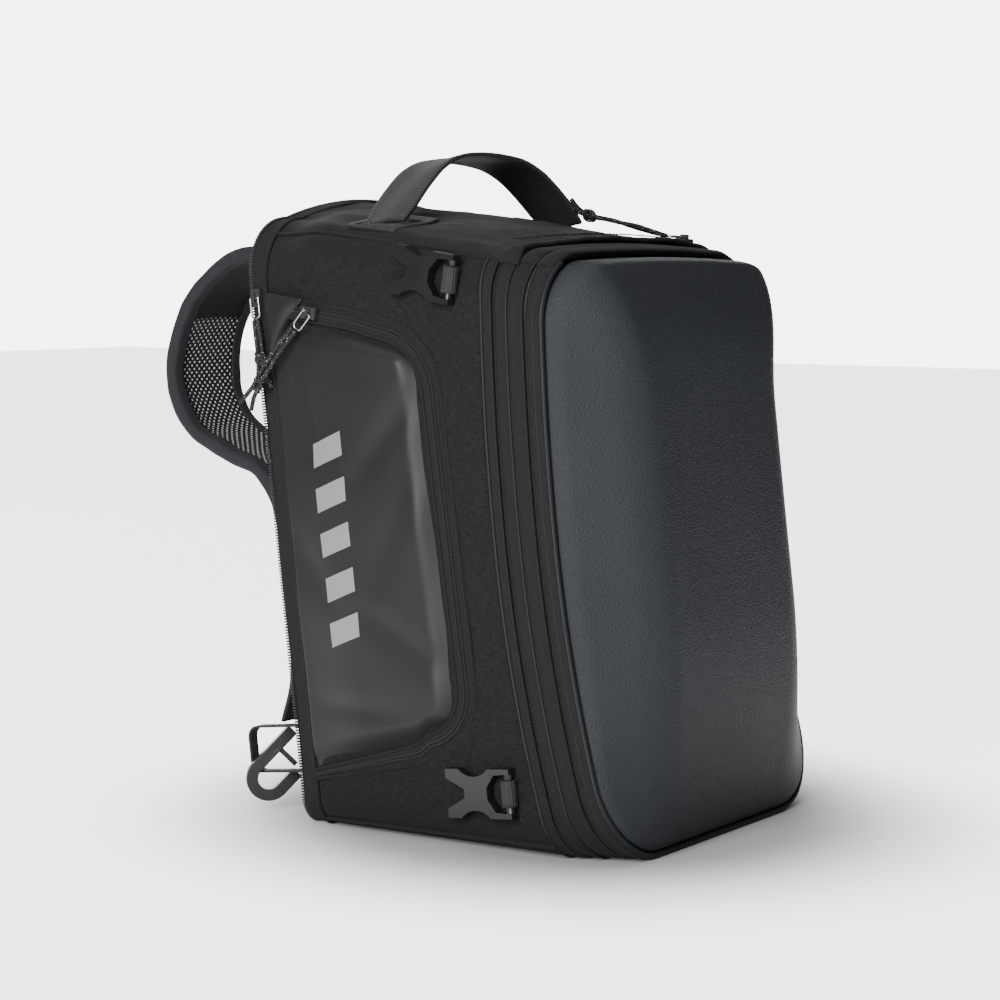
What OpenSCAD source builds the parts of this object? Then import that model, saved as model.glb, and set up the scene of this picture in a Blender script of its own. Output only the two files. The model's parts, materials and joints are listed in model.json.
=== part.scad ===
// Soft tail bag that also carries as a backpack.
// Bag frame: +X the right-hand side, -Y the shell lid, +Y the back with the straps, +Z up.
// Everything is drawn upright in the bag frame, then leaned back to stand on its flat base.

/* [Body] */
// Width of the bag across the side panels
body_w = 270; // [255:1:285]
// Back plane of the side panels, behind the middle of the bag
back_y = 52; // [46:1:60]
// Height of the top edge at the back of the side panels
top_z = 419; // [412:1:424]
// Fall of the top edge for each millimetre towards the lid
top_slope = 0.22; // [0.18:0.01:0.24]
// Angle that the standing bag leans back
lean = 7; // [6:0.5:8]
// Thickness of the padded panels
wall = 4; // [3:0.5:5]
// Radius of the corners at the back of the body
back_r = 18; // [14:1:24]
// Radius of the corners at the side panels' front edge
mid_r = 30; // [26:1:34]
// Radius of the corners at the lid's rim
rim_r = 46; // [40:1:50]

/* [Front] */
// Distance that the curved front edges bow back at half height
bow = 20; // [12:1:22]
// Front edge of the side panels
panel_edge_y = -134; // [-136:1:-132]
// Slit of the expansion zip
slit1_y = -143; // [-145:1:-141]
// Seam between the two zips
seam_y = -154; // [-156:1:-152]
// Slit of the lid zip
slit2_y = -167; // [-168:1:-165]
// Border between the lid's rim and its moulded shell
border_y = -179; // [-181:1:-177]
// Front face of the moulded shell
face_y = -207; // [-212:1:-203]
// Half width of the shell's flat front face
face_half_w = 88; // [80:1:96]
// Thickness of the moulded shell
shell_wall = 3; // [2:0.5:4]

/* [Carrying] */
// Width of the grab handle's webbing
handle_w = 38; // [30:1:40]
// Height of the grab handle's top
handle_top_z = 453; // [446:1:458]
// Width of each padded shoulder strap
strap_w = 70; // [60:1:76]
// Thickness of each padded shoulder strap
strap_t = 9; // [7:1:11]
// Distance of each shoulder strap from the middle
strap_x = 76; // [70:1:82]
// Width of the straps' lower webbing
webbing_w = 25; // [20:1:25]

/* [Hardware] */
// Length of a side-release buckle from its bar to its mouth
buckle_len = 50; // [46:1:54]
// Width of a side-release buckle
buckle_w = 32; // [30:1:36]
// Thickness of a side-release buckle
buckle_t = 8; // [7:1:9]
// Diameter of the pull cords
cord_d = 3; // [2.5:0.5:3.5]

/* [Hidden] */

half_w = body_w / 2;
far = 600;
thin = 0.1;
gap = 0.4;
// Shift along Y that puts the middle of the standing bag over the origin.
stand_y = -4.44;

function floor_z(y) = y * tan(lean);
function top_at(y) = top_z + (y - back_y) * top_slope;
crown_front = 2;
crown_back = 13;
function crown_at(y) = crown_front + (crown_back - crown_front) * (y - border_y) / (back_y - border_y);
function corner_r(y) = y < panel_edge_y
    ? rim_r + (mid_r - rim_r) * (y - border_y) / (panel_edge_y - border_y)
    : mid_r + (back_r - mid_r) * (y - panel_edge_y) / (back_y - panel_edge_y);
bow_mid_z = 185;
bow_half_z = 200;
function bow_at(z) = max(0, bow * (1 - pow((z - bow_mid_z) / bow_half_z, 2)));

// Points of an arc about centre c, both ends included.
function arc(c, r, a0, a1, n = 6) = [for (i = [0:n]) let (a = a0 + (a1 - a0) * i / n)
    [c[0] + r * cos(a), c[1] + r * sin(a)]];
function round_box(x0, x1, z0, z1, r, n = 6, crown = 0) = concat(
    arc([x1 - r, z1 - r], r, 0, 90, n),
    [for (u = [0.6, 0.2, -0.2, -0.6]) if (crown > 0) [u * (x1 - r), z1 + crown * (1 - u * u)]],
    arc([x0 + r, z1 - r], r, 90, 180, n),
    arc([x0 + r, z0 + r], r, 180, 270, n), arc([x1 - r, z0 + r], r, 270, 360, n));

// Height of the crowned top at x across and y along the bag.
function skin_z(x, y) = top_at(y) + crown_at(y) * max(0, 1 - pow(x / (half_w - corner_r(y)), 2));

module stand() {
    translate([0, stand_y, 0]) rotate([-lean, 0, 0]) children();
}

// Cross-section of the body at one depth, drawn as a thin slab in front of plane y.
module section_slab(y, inset) {
    translate([0, y, 0]) rotate([90, 0, 0]) linear_extrude(thin)
        polygon(round_box(inset - half_w, half_w - inset, floor_z(y) + inset, top_at(y) - inset,
            corner_r(y) - inset, 6, crown_at(y)));
}

// Solid of the body between two depths, y0 in front of y1.
module loft(y0, y1, inset) {
    hull() {
        section_slab(y0 + thin, inset);
        section_slab(y1, inset);
    }
}

// Prism across the whole width between two bowed edges.
module bowed_slice(y0, y1, bow0 = 1, bow1 = 1, z0 = -60, z1 = 480) {
    steps = 14;
    rotate([90, 0, 90]) linear_extrude(far, center = true) polygon(concat(
        [for (i = [0:steps]) let (z = z0 + (z1 - z0) * i / steps) [y0 + bow0 * bow_at(z), z]],
        [for (i = [steps:-1:0]) let (z = z0 + (z1 - z0) * i / steps) [y1 + bow1 * bow_at(z), z]]));
}

// Wall of the body between two bowed edges, from one inset to another.
module ring(y0, y1, inset_out, inset_in, bow1 = 1, bow0 = 1) {
    intersection() {
        difference() {
            loft(border_y - 4, back_y + 16, inset_out);
            loft(border_y - 5, back_y + 17, inset_in);
        }
        bowed_slice(y0, y1, bow0, bow1);
    }
}

seam_drop = 12;

module side_region(side) {
    translate([side > 0 ? half_w - seam_drop : -far, -far / 2, -far / 2])
        cube([far - half_w + seam_drop, far, far * 2]);
}

module upper_region() {
    translate([seam_drop - half_w, -far / 2, 150]) cube([body_w - 2 * seam_drop, far, far]);
}

module lower_region() {
    translate([seam_drop - half_w, -far / 2, -150]) cube([body_w - 2 * seam_drop, far, 300]);
}

module body_wall() {
    ring(panel_edge_y, back_y, 0, wall, 0);
}

module side_panel(side) {
    color([0.15, 0.15, 0.16]) stand() intersection() {
        body_wall();
        side_region(side);
    }
}

module side_panel_left() { side_panel(-1); }
module side_panel_right() { side_panel(1); }

module top_panel() {
    color([0.17, 0.17, 0.19]) stand() intersection() {
        body_wall();
        upper_region();
    }
}

module bottom_panel() {
    color([0.12, 0.12, 0.13]) stand() intersection() {
        body_wall();
        lower_region();
    }
}

// Padded panel against the rider's back, set inside the zip tape round the back edge.
module back_panel() {
    color([0.1, 0.1, 0.11]) stand() intersection() {
        loft(back_y - 1, back_y + 12, 3);
        translate([-far / 2, back_y, -far / 2]) cube([far, 10, far * 2]);
    }
}

// Open half of the zip that closes the strap cover, standing off the back edge.
module back_zip_tape() {
    color([0.08, 0.08, 0.09]) stand() ring(back_y, back_y + 14, 0, 2.4, 0, 0);
}

liner_t = 1.2;
liner_in = wall + 2 * gap;
sheet_t = 2;

module liner() {
    color([0.3, 0.3, 0.32]) stand() union() {
        ring(panel_edge_y, back_y - 6, liner_in, liner_in + liner_t, 0);
        intersection() {
            loft(back_y - 8, back_y - 2, liner_in);
            translate([-far / 2, back_y - 6, -far / 2]) cube([far, liner_t, far * 2]);
        }
    }
}

// Stiffening sheet between the liner and the back panel.
module frame_sheet() {
    color([0.75, 0.75, 0.7]) stand() translate([0, back_y - 1.5, 0]) rotate([90, 0, 0])
        linear_extrude(sheet_t) polygon(round_box(20 - half_w, half_w - 20, 30, top_at(back_y) - 24, 16));
}

// Board that keeps the base flat, inside the liner.
module bottom_board() {
    color([0.2, 0.2, 0.2]) stand() rotate([lean, 0, 0]) translate([-100, -120, wall + 2.5])
        cube([200, 150, 3]);
}

cover_w = 180;

// Zip-off cover for the straps, folded flat in its sleeve low on the back.
module back_cover() {
    color([0.13, 0.13, 0.14]) stand() translate([-cover_w / 2, back_y + 12, 44]) cube([cover_w, 6, 80]);
}

module cover_sleeve() {
    color([0.1, 0.1, 0.1]) stand() difference() {
        translate([-cover_w / 2 - 4, back_y + 10.1, 40]) cube([cover_w + 8, 10, 92]);
        translate([-cover_w / 2 - 1, back_y + 11.6, 43]) cube([cover_w + 2, 7, 90]);
    }
}

module expander_tape_body() {
    color([0.18, 0.18, 0.19]) stand() ring(slit1_y + gap / 2, panel_edge_y, 0, 2.4);
}

module expander_tape_front() {
    color([0.18, 0.18, 0.19]) stand() ring(seam_y, slit1_y - gap / 2, 0, 2.4);
}

// Pleated cloth folded away behind the expansion zip.
module expander_gusset() {
    color([0.1, 0.1, 0.1]) stand() ring(seam_y + 1, panel_edge_y - 2, 6.5, 8.5);
}

// Stiff hoop that keeps the mouth of the bag in shape.
module front_frame() {
    color([0.2, 0.2, 0.2]) stand() ring(slit2_y + 5, seam_y, 2.6, 6);
}

hinge_y = slit2_y - 1;
hinge_z = top_at(hinge_y);
strip_z = hinge_z - 14;

module hinge_region() {
    translate([-far / 2, -far, strip_z]) cube([far, far * 2, far]);
}

// The lid zip's two tapes run down both sides and along the bottom, and stop under the hinge strip.
module lid_tape_body() {
    color([0.16, 0.16, 0.17]) stand() difference() {
        ring(slit2_y + gap / 2, seam_y, 0, 2.4);
        hinge_region();
    }
}

module hinge_strip() {
    color([0.17, 0.17, 0.19]) stand() intersection() {
        ring(slit2_y + gap / 2, seam_y, 0, 2.4);
        hinge_region();
    }
}

module lid_tape() {
    color([0.16, 0.16, 0.17]) stand() difference() {
        ring(slit2_y - 6, slit2_y - gap / 2, 0, 2.4);
        hinge_region();
    }
}

// Bound edge of the lid, which carries the shell and stands on the ground.
module lid_rim() {
    color([0.14, 0.14, 0.15]) stand() union() {
        ring(border_y, slit2_y - 6, 0, 5);
        intersection() {
            ring(slit2_y - 6, slit2_y - gap / 2, 0, 5);
            hinge_region();
        }
    }
}

shell_inset = 5;
face_z0 = 42;
face_z1 = 326;
face_r = 24;

// Blunt dome from the bowed border to the flat front face.
module dome(inset) {
    hull() {
        intersection() {
            loft(border_y - 4, back_y, shell_inset + inset);
            bowed_slice(border_y - 3, border_y, 0, 1);
        }
        translate([0, face_y + inset + 1, 0]) rotate([90, 0, 0]) linear_extrude(1)
            polygon(round_box(inset - face_half_w, face_half_w - inset, face_z0 + inset, face_z1 - inset,
                face_r));
    }
}

module lid_shell() {
    color([0.2, 0.22, 0.24]) stand() difference() {
        dome(0);
        dome(shell_wall);
        loft(border_y + 1, back_y, shell_inset + shell_wall);
    }
}

// Thin cloth lining inside the shell.
module lid_lining() {
    color([0.3, 0.3, 0.32]) stand() difference() {
        dome(shell_wall + 0.3);
        dome(shell_wall + 1.5);
        loft(border_y + 1, back_y, shell_inset + shell_wall);
    }
}

// Outline of the side pocket, as seen from its side: y along, z up. grow moves the sewn edge outwards.
function pocket_outline(grow) = concat(
    [[50, 46 - grow / 2], [-40, 62 - grow]],
    arc([-46, 98], 30 + grow, 264, 180, 5),
    arc([-34, 290], 38 + grow, 176, 106, 5),
    [[-16, 337 + grow], [50, 354 + grow]]);

pocket_out = 8.6;

module pocket_side(side, height, lift) {
    translate([side * (half_w + lift + (side < 0 ? height : 0)), 0, 0]) rotate([90, 0, 90])
        linear_extrude(height) children();
}

module pocket_panel(side) {
    color([0.24, 0.24, 0.26]) stand() pocket_side(side, pocket_out, 0.2) polygon(pocket_outline(0));
}

module pocket_panel_left() { pocket_panel(-1); }
module pocket_panel_right() { pocket_panel(1); }

module pocket_zip(side) {
    color([0.15, 0.15, 0.16]) stand() pocket_side(side, 5, 0.2) difference() {
        polygon(pocket_outline(13));
        polygon(pocket_outline(0.1));
        translate([48, -50]) square([50, 600]);
    }
}

module pocket_zip_left() { pocket_zip(-1); }
module pocket_zip_right() { pocket_zip(1); }

slider_l = 12;
slider_w = 8;
slider_t = 3.6;
bail_d = 1.6;
bail_l = 14;
bail_w = 7;
pull_pin_d = 1.6;
pin_z = slider_t + 1;

// Zip slider: length along X, its back on the plane z = 0, with a turned bridge that holds the wire pull.
module zip_slider(bridge_turn = 0) {
    color([0.1, 0.1, 0.1]) {
        translate([-slider_l / 2, -slider_w / 2, 0.2]) cube([slider_l, slider_w, slider_t - 0.2]);
        rotate([0, 0, bridge_turn]) difference() {
            translate([-3, -1.2, slider_t - 0.5]) cube([6, 2.4, 3.4]);
            translate([0, 5, pin_z]) rotate([90, 0, 0]) cylinder(d = pull_pin_d + 0.1, h = 10, $fn = 24);
        }
    }
}

// Wire pull: a pin through the slider's bridge and a long loop towards +X.
module wire_pull() {
    color([0.8, 0.8, 0.82]) translate([0, 0, pin_z]) {
        rotate([90, 0, 0]) cylinder(d = pull_pin_d, h = bail_w, center = true, $fn = 24);
        for (s = [-1, 1]) translate([0, s * bail_w / 2, 0]) rotate([0, 90, 0])
            cylinder(d = bail_d, h = bail_l - bail_w / 2, $fn = 16);
        for (s = [-1, 1]) translate([0, s * bail_w / 2, 0]) sphere(d = bail_d, $fn = 16);
        translate([bail_l - bail_w / 2, 0, 0]) rotate([0, 0, -90]) rotate_extrude(angle = 180, $fn = 24)
            translate([bail_w / 2, 0]) circle(d = bail_d, $fn = 16);
    }
}

// Places a slider or pull: on the side of the bag, at y and z, turned in the side's plane.
module on_side(side, x, y, z, turn) {
    mirror([side < 0 ? 1 : 0, 0, 0]) translate([x, y, z]) rotate([90, 0, 90]) rotate([0, 0, turn]) children();
}

pocket_slider_at = [half_w + 5.3, 12, 350.5];
pocket_slide_turn = 14.4;
pocket_pull_turn = -40;

module pocket_slider(side) {
    stand() on_side(side, pocket_slider_at[0], pocket_slider_at[1], pocket_slider_at[2], pocket_slide_turn)
        zip_slider(pocket_pull_turn - pocket_slide_turn);
}

module pocket_pull(side) {
    stand() on_side(side, pocket_slider_at[0], pocket_slider_at[1], pocket_slider_at[2], pocket_pull_turn)
        wire_pull();
}

module pocket_slider_left() { pocket_slider(-1); }
module pocket_slider_right() { pocket_slider(1); }
module pocket_pull_left() { pocket_pull(-1); }
module pocket_pull_right() { pocket_pull(1); }

// Tube of diameter d swept along a route of points.
function unit(v) = v / norm(v);
function tangent(p, i) = unit(p[min(i + 1, len(p) - 1)] - p[max(i - 1, 0)]);
function side_of(t, up) = unit(cross(t, up));
module tube(p, d, up, sides = 8) {
    n = len(p);
    points = [for (i = [0:n - 1]) let (t = tangent(p, i), s = side_of(t, up), u = cross(s, t))
        for (k = [0:sides - 1]) p[i] + d / 2 * (cos(360 * k / sides) * s + sin(360 * k / sides) * u)];
    walls = [for (i = [0:n - 2]) for (k = [0:sides - 1]) let (j = (k + 1) % sides)
        [i * sides + k, i * sides + j, (i + 1) * sides + j, (i + 1) * sides + k]];
    start = [for (k = [sides - 1:-1:0]) k];
    end = [for (k = [0:sides - 1]) (n - 1) * sides + k];
    polyhedron(points, concat([start], [end], walls));
}

// Routes of the pull cords, from the wire pull to the knot and the tail, in the bag frame.
pocket_route = [[145.6, 22.3, 339.8], [146.5, 29, 334], [147.2, 38, 326], [147.6, 47, 317],
    [147.6, 55, 308], [147.6, 62, 300], [147.6, 66, 291]];
pocket_route_b = [[145.6, 24.4, 342.2], [146.5, 31.5, 336.5], [147.2, 41, 328.5], [147.6, 51, 319],
    [147.6, 59, 309.5], [147.6, 67, 303], [147.6, 75, 297]];
back_route = [[-140.3, 58.4, 351.2], [-140, 58, 343], [-139.5, 58, 334], [-139, 58, 325],
    [-139, 56.5, 315], [-139, 53.5, 305]];
back_route_b = [[-140.3, 61.6, 351.2], [-140, 61.8, 343], [-139.5, 62, 334], [-139, 62.3, 325],
    [-139, 64, 314], [-139, 66, 302]];
expander_route = [[78.6, -133.3, 385.2], [71, -127, 388.4], [61, -119, 393], [51, -111.5, 398],
    [42, -105, 401], [33, -100, 404], [27, -97, 409], [23, -95, 415]];
expander_route_b = [[76.8, -136, 384.7], [68.5, -130.5, 388.4], [58, -124, 393], [48, -117, 396],
    [39, -111, 399], [30, -106, 401], [22, -103, 404], [15, -101, 407]];
lid_route = [[140.3, -155.4, 315.5], [140, -154.5, 306], [140, -153.5, 296], [140, -152.5, 286],
    [140, -151, 276], [140, -149, 266]];
lid_route_b = [[140.3, -158.5, 315.1], [140, -158.2, 306], [140, -157.6, 296], [140, -157, 286],
    [140, -157.5, 276], [140, -159, 266]];

module cord_pair(a, b, up) {
    color([0.12, 0.12, 0.13]) stand() {
        tube(a, cord_d, up);
        tube(b, cord_d, up);
    }
}

module pocket_cord_right() { cord_pair(pocket_route, pocket_route_b, [1, 0, 0]); }
module pocket_cord_left() {
    flip = [for (p = pocket_route) [-p[0], p[1], p[2]]];
    flip_b = [for (p = pocket_route_b) [-p[0], p[1], p[2]]];
    cord_pair(flip, flip_b, [1, 0, 0]);
}

// Female side-release buckle: its round bar along Y at the origin, its mouth towards +X, its back on z = 0.
bar_d = 6;
bar_z = buckle_t / 2;
bar_slot = 25;
mouth_w = 15;
mouth_wall = 1.4;
tip_x = buckle_len - bar_d / 2;
module buckle() {
    color([0.13, 0.13, 0.13]) {
        difference() {
            translate([-bar_d / 2, -buckle_w / 2, 0]) cube([buckle_len, buckle_w, buckle_t]);
            for (s = [-1, 1]) translate([25, s * (buckle_w / 2 + 11), -1])
                cylinder(r = 16, h = buckle_t + 2, $fn = 64);
            translate([-bar_d, -bar_slot / 2, -1]) cube([bar_d + 4, bar_slot, buckle_t + 2]);
            translate([0, 0, -1]) linear_extrude(buckle_t + 2)
                polygon([[-2, -bar_slot / 2], [-2, bar_slot / 2], [9, 12], [15, 4], [15, -4], [9, -12]]);
            translate([0, 0, -1]) linear_extrude(buckle_t + 2)
                polygon([[far, -10], [tip_x, -10], [33, -3], [33, 3], [tip_x, 10], [far, 10]]);
            translate([20, -mouth_w / 2, mouth_wall]) cube([far, mouth_w, buckle_t - 2 * mouth_wall]);
        }
        translate([0, bar_slot / 2 + 0.5, bar_z]) rotate([90, 0, 0])
            cylinder(d = bar_d, h = bar_slot + 1, $fn = 32);
    }
}

// Webbing loop round a buckle's bar, sewn to the bag inside the buckle's triangular opening.
loop_w = 17;
loop_t = 1.5;
loop_tail = 8;
loop_in = bar_d / 2 + gap;
module buckle_loop() {
    color([0.08, 0.08, 0.09]) translate([0, loop_w / 2, bar_z]) rotate([90, 0, 0]) linear_extrude(loop_w)
        difference() {
            union() {
                square(2 * (loop_in + loop_t), center = true);
                translate([0, -loop_in - loop_t]) square([loop_tail, 2 * loop_t]);
            }
            square(2 * loop_in, center = true);
        }
}

buckle_x = half_w + loop_in + loop_t - bar_z + 0.2;
upper_bar = [-104, 359];
upper_turn = 16;
lower_bar = [-110, 30];
lower_turn = 1;

module at_bar(side, bar, turn) {
    stand() on_side(side, buckle_x, bar[0], bar[1], turn) children();
}

module buckle_upper_left() { at_bar(-1, upper_bar, upper_turn) buckle(); }
module buckle_upper_right() { at_bar(1, upper_bar, upper_turn) buckle(); }
module buckle_lower_left() { at_bar(-1, lower_bar, lower_turn) buckle(); }
module buckle_lower_right() { at_bar(1, lower_bar, lower_turn) buckle(); }

module buckle_loops() {
    for (s = [-1, 1]) {
        at_bar(s, upper_bar, upper_turn) buckle_loop();
        at_bar(s, lower_bar, lower_turn) buckle_loop();
    }
}

handle_y = -31;
handle_half = 92;
handle_t = 3;
patch_t = 2.6;
patch_x = 94;
patch_l = 36;
patch_base_z = skin_z(patch_x - patch_l / 2, handle_y) + 1;
handle_base_z = patch_base_z + patch_t + 2;
handle_rise = handle_top_z - handle_base_z;

function handle_curve(o) = [for (i = [0:18]) let (a = 180 * i / 18)
    [(handle_half + o) * cos(a) * (1 - 0.12 * sin(a)), (handle_rise + o) * pow(sin(a), 0.75)]];

// Arched webbing handle across the top, pinched to a point at its two sewn ends so that it can fold.
module handle() {
    color([0.07, 0.07, 0.08]) stand() intersection() {
        translate([0, handle_y + handle_w / 2, handle_base_z]) rotate([90, 0, 0])
            linear_extrude(handle_w) polygon(concat(handle_curve(0),
                [for (i = [18:-1:0]) handle_curve(-handle_t)[i]]));
        translate([0, handle_y, handle_base_z]) rotate([90, 0, 90]) linear_extrude(far, center = true)
            polygon([[-1, -1], [1, -1], [handle_w, handle_w], [handle_w, far], [-handle_w, far],
                [-handle_w, handle_w]]);
    }
}

// Box-stitched ends of the handle's webbing, flat on the top panel.
module handle_patches() {
    color([0.07, 0.07, 0.08]) stand() for (s = [-1, 1])
        translate([s * patch_x, handle_y, patch_base_z]) rotate([atan(top_slope + 0.02), 0, 0])
            translate([-patch_l / 2, -handle_w / 2, 0]) cube([patch_l, handle_w, patch_t]);
}

// Middle line of a shoulder strap seen from the side, from its sewn top to its lower end.
strap_route = [[63, 396], [92, 399], [118, 392], [146, 373], [164, 345], [168, 312], [156, 285],
    [128, 266], [100, 250], [86, 230], [80, 205]];

function flat_normal(p, i) = let (t = tangent([for (q = p) [q[0], q[1], 0]], i)) [-t[1], t[0]];
function band(p, t) = concat(
    [for (i = [0:len(p) - 1]) p[i] + t / 2 * flat_normal(p, i)],
    [for (i = [len(p) - 1:-1:0]) p[i] - t / 2 * flat_normal(p, i)]);

module side_band(x, w, p, t) {
    translate([x - w / 2, 0, 0]) rotate([90, 0, 90]) linear_extrude(w) polygon(band(p, t));
}

module strap(side) {
    color([0.08, 0.08, 0.09]) stand() side_band(side * strap_x, strap_w, strap_route, strap_t);
}

module strap_left() { strap(-1); }
module strap_right() { strap(1); }

webbing_route = [[79, 181.6], [80, 150], [82, 124], [87, 98], [96, 75]];

module strap_webbing(side) {
    color([0.08, 0.08, 0.09]) stand() side_band(side * 100, webbing_w, webbing_route, 1.8);
}

module strap_webbing_left() { strap_webbing(-1); }
module strap_webbing_right() { strap_webbing(1); }

adjuster_z = 192.6;

// Ladder-lock adjuster between the padded strap and its webbing.
module strap_adjuster(side) {
    color([0.1, 0.1, 0.1]) stand() translate([side * 95, 79.5, adjuster_z]) difference() {
        translate([-16, -3.5, -10.4]) cube([32, 7, 21]);
        for (z = [-6, 4]) translate([-13, -5, z - 2.1]) cube([26, 10, 4.2]);
    }
}

module strap_adjuster_left() { strap_adjuster(-1); }
module strap_adjuster_right() { strap_adjuster(1); }

// Plastic snap hook on each strap's webbing, turned towards the strap, its bent end at the lower back.
hook_d = 8;
hook_x = 118;
hook_c = [110, 37];
hook_r = 11.5;
hook_rise = 40;
hook_yaw = 45;
shank_l = 36;
tip_l = 17;
gate_w = 3.4;
gate_pin = 2;
barrel_d = 3.6;
pivot_x = tip_l + 3;

// Draws in the hook's own plane: shank along +X, bend round the origin, thickness centred.
module in_hook(side) {
    stand() translate([side * hook_x, hook_c[0], hook_c[1]]) rotate([0, 0, -side * hook_yaw])
        rotate([90, 0, 90]) rotate([0, 0, 180 - hook_rise]) children();
}

module strap_hook(side) {
    color([0.12, 0.12, 0.13]) in_hook(side) difference() {
        translate([0, 0, -hook_d / 2]) linear_extrude(hook_d) union() {
            difference() {
                circle(r = hook_r + hook_d / 2, $fn = 64);
                circle(r = hook_r - hook_d / 2, $fn = 64);
                translate([0, -far]) square([far, far * 2]);
            }
            translate([-0.1, -hook_r - hook_d / 2]) square([shank_l, hook_d]);
            translate([-0.1, hook_r - hook_d / 2]) square([tip_l, hook_d]);
        }
        translate([pivot_x, -hook_r, 0]) {
            cylinder(d = gate_pin + 0.1, h = far, center = true, $fn = 32);
            cylinder(d = barrel_d + 1, h = gate_w + 0.6, center = true, $fn = 32);
            translate([-6, 0, -gate_w / 2 - 0.3]) cube([10, hook_d, gate_w + 0.6]);
        }
    }
}

module strap_hook_left() { strap_hook(-1); }
module strap_hook_right() { strap_hook(1); }

// Sprung gate that closes the hook's mouth, on its own pin.
module hook_gate(side) {
    gate_reach = 2 * hook_r - hook_d / 2 - 0.3;
    color([0.1, 0.1, 0.1]) in_hook(side) translate([pivot_x, -hook_r, 0]) {
        cylinder(d = gate_pin, h = hook_d - 0.4, center = true, $fn = 32);
        cylinder(d = barrel_d, h = gate_w, center = true, $fn = 32);
        translate([-1.8, 0, -gate_w / 2]) cube([3.6, gate_reach, gate_w]);
    }
}

module hook_gate_left() { hook_gate(-1); }
module hook_gate_right() { hook_gate(1); }

// Webbing loops sewn at the lower back corners, each round its hook's shank.
hook_loop_w = 8;
hook_loop_x = 116;
module hook_loops() {
    color([0.08, 0.08, 0.09]) stand() for (s = [-1, 1]) translate([s * hook_loop_x - hook_loop_w / 2, 0, 0])
        rotate([90, 0, 90]) linear_extrude(hook_loop_w) difference() {
            polygon(round_box(66.2, 123, 41, 74, 8));
            polygon(round_box(60, 121.4, 42.6, 72.4, 6.4));
        }
}

back_slider_at = [half_w + 0.2, 60, 366];
module back_slider() {
    stand() on_side(-1, back_slider_at[0], back_slider_at[1], back_slider_at[2], -90) zip_slider();
}
module back_pull() {
    stand() on_side(-1, back_slider_at[0], back_slider_at[1], back_slider_at[2], -90) wire_pull();
}
module back_cord() { cord_pair(back_route, back_route_b, [1, 0, 0]); }

expander_slider_at = [90, -141.5, skin_z(90, -141.5) + 1.2];
expander_pull_turn = 146;
module on_top(turn) {
    stand() translate(expander_slider_at) rotate([atan(top_slope), 0, 0]) rotate([0, 0, turn]) children();
}
module expander_slider() { on_top(180) zip_slider(expander_pull_turn - 180); }
module expander_pull() { on_top(expander_pull_turn) wire_pull(); }
module expander_cord() { cord_pair(expander_route, expander_route_b, [0, 0, 1]); }

lid_slider_at = [half_w + 0.2, -158.5, 330];
lid_slide_turn = -84;
module lid_slider() {
    stand() on_side(1, lid_slider_at[0], lid_slider_at[1], lid_slider_at[2], lid_slide_turn) zip_slider();
}
module lid_pull() {
    stand() on_side(1, lid_slider_at[0], lid_slider_at[1], lid_slider_at[2], lid_slide_turn) wire_pull();
}
module lid_cord() { cord_pair(lid_route, lid_route_b, [1, 0, 0]); }

side_panel_left();
side_panel_right();
top_panel();
bottom_panel();
back_panel();
back_zip_tape();
frame_sheet();
bottom_board();
liner();
back_cover();
cover_sleeve();
expander_tape_body();
expander_gusset();
expander_tape_front();
front_frame();
lid_tape_body();
hinge_strip();
lid_tape();
lid_rim();
lid_shell();
lid_lining();
pocket_panel_left();
pocket_panel_right();
pocket_zip_left();
pocket_zip_right();
pocket_slider_left();
pocket_slider_right();
pocket_pull_left();
pocket_pull_right();
pocket_cord_left();
pocket_cord_right();
buckle_upper_left();
buckle_upper_right();
buckle_lower_left();
buckle_lower_right();
buckle_loops();
handle();
handle_patches();
strap_left();
strap_right();
strap_webbing_left();
strap_webbing_right();
strap_adjuster_left();
strap_adjuster_right();
strap_hook_left();
strap_hook_right();
hook_gate_left();
hook_gate_right();
hook_loops();
back_slider();
back_pull();
back_cord();
expander_slider();
expander_pull();
expander_cord();
lid_slider();
lid_pull();
lid_cord();
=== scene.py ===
import bisect
import json
import math

import bpy
from mathutils import Matrix, Vector, noise


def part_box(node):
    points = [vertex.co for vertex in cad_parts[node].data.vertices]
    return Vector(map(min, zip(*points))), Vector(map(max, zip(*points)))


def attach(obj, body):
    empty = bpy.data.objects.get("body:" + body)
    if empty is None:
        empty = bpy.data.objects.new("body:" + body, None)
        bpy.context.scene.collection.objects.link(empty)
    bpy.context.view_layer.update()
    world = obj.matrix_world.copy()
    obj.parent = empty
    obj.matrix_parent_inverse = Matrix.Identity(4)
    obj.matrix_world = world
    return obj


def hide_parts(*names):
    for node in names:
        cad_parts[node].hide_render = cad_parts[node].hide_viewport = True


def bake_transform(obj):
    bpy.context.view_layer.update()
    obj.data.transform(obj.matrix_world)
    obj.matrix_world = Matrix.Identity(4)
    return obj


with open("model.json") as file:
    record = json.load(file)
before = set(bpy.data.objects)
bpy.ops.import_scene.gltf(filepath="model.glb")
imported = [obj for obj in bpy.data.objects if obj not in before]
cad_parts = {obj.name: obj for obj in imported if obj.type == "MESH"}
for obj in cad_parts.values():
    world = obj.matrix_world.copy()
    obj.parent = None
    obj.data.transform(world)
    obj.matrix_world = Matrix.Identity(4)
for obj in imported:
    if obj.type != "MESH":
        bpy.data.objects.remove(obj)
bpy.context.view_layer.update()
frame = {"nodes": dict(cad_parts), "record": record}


# The place: a floor painted with glowing light away from the bag, which leaves a painted shadow round it, in a
# dim room with one bright wall behind.
# It is not part of the bag.
FLOOR_SIZE = 14.0
WHITE = (1.0, 1.0, 1.0, 1.0)


def deselect():
    bpy.ops.object.select_all(action="DESELECT")


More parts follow.
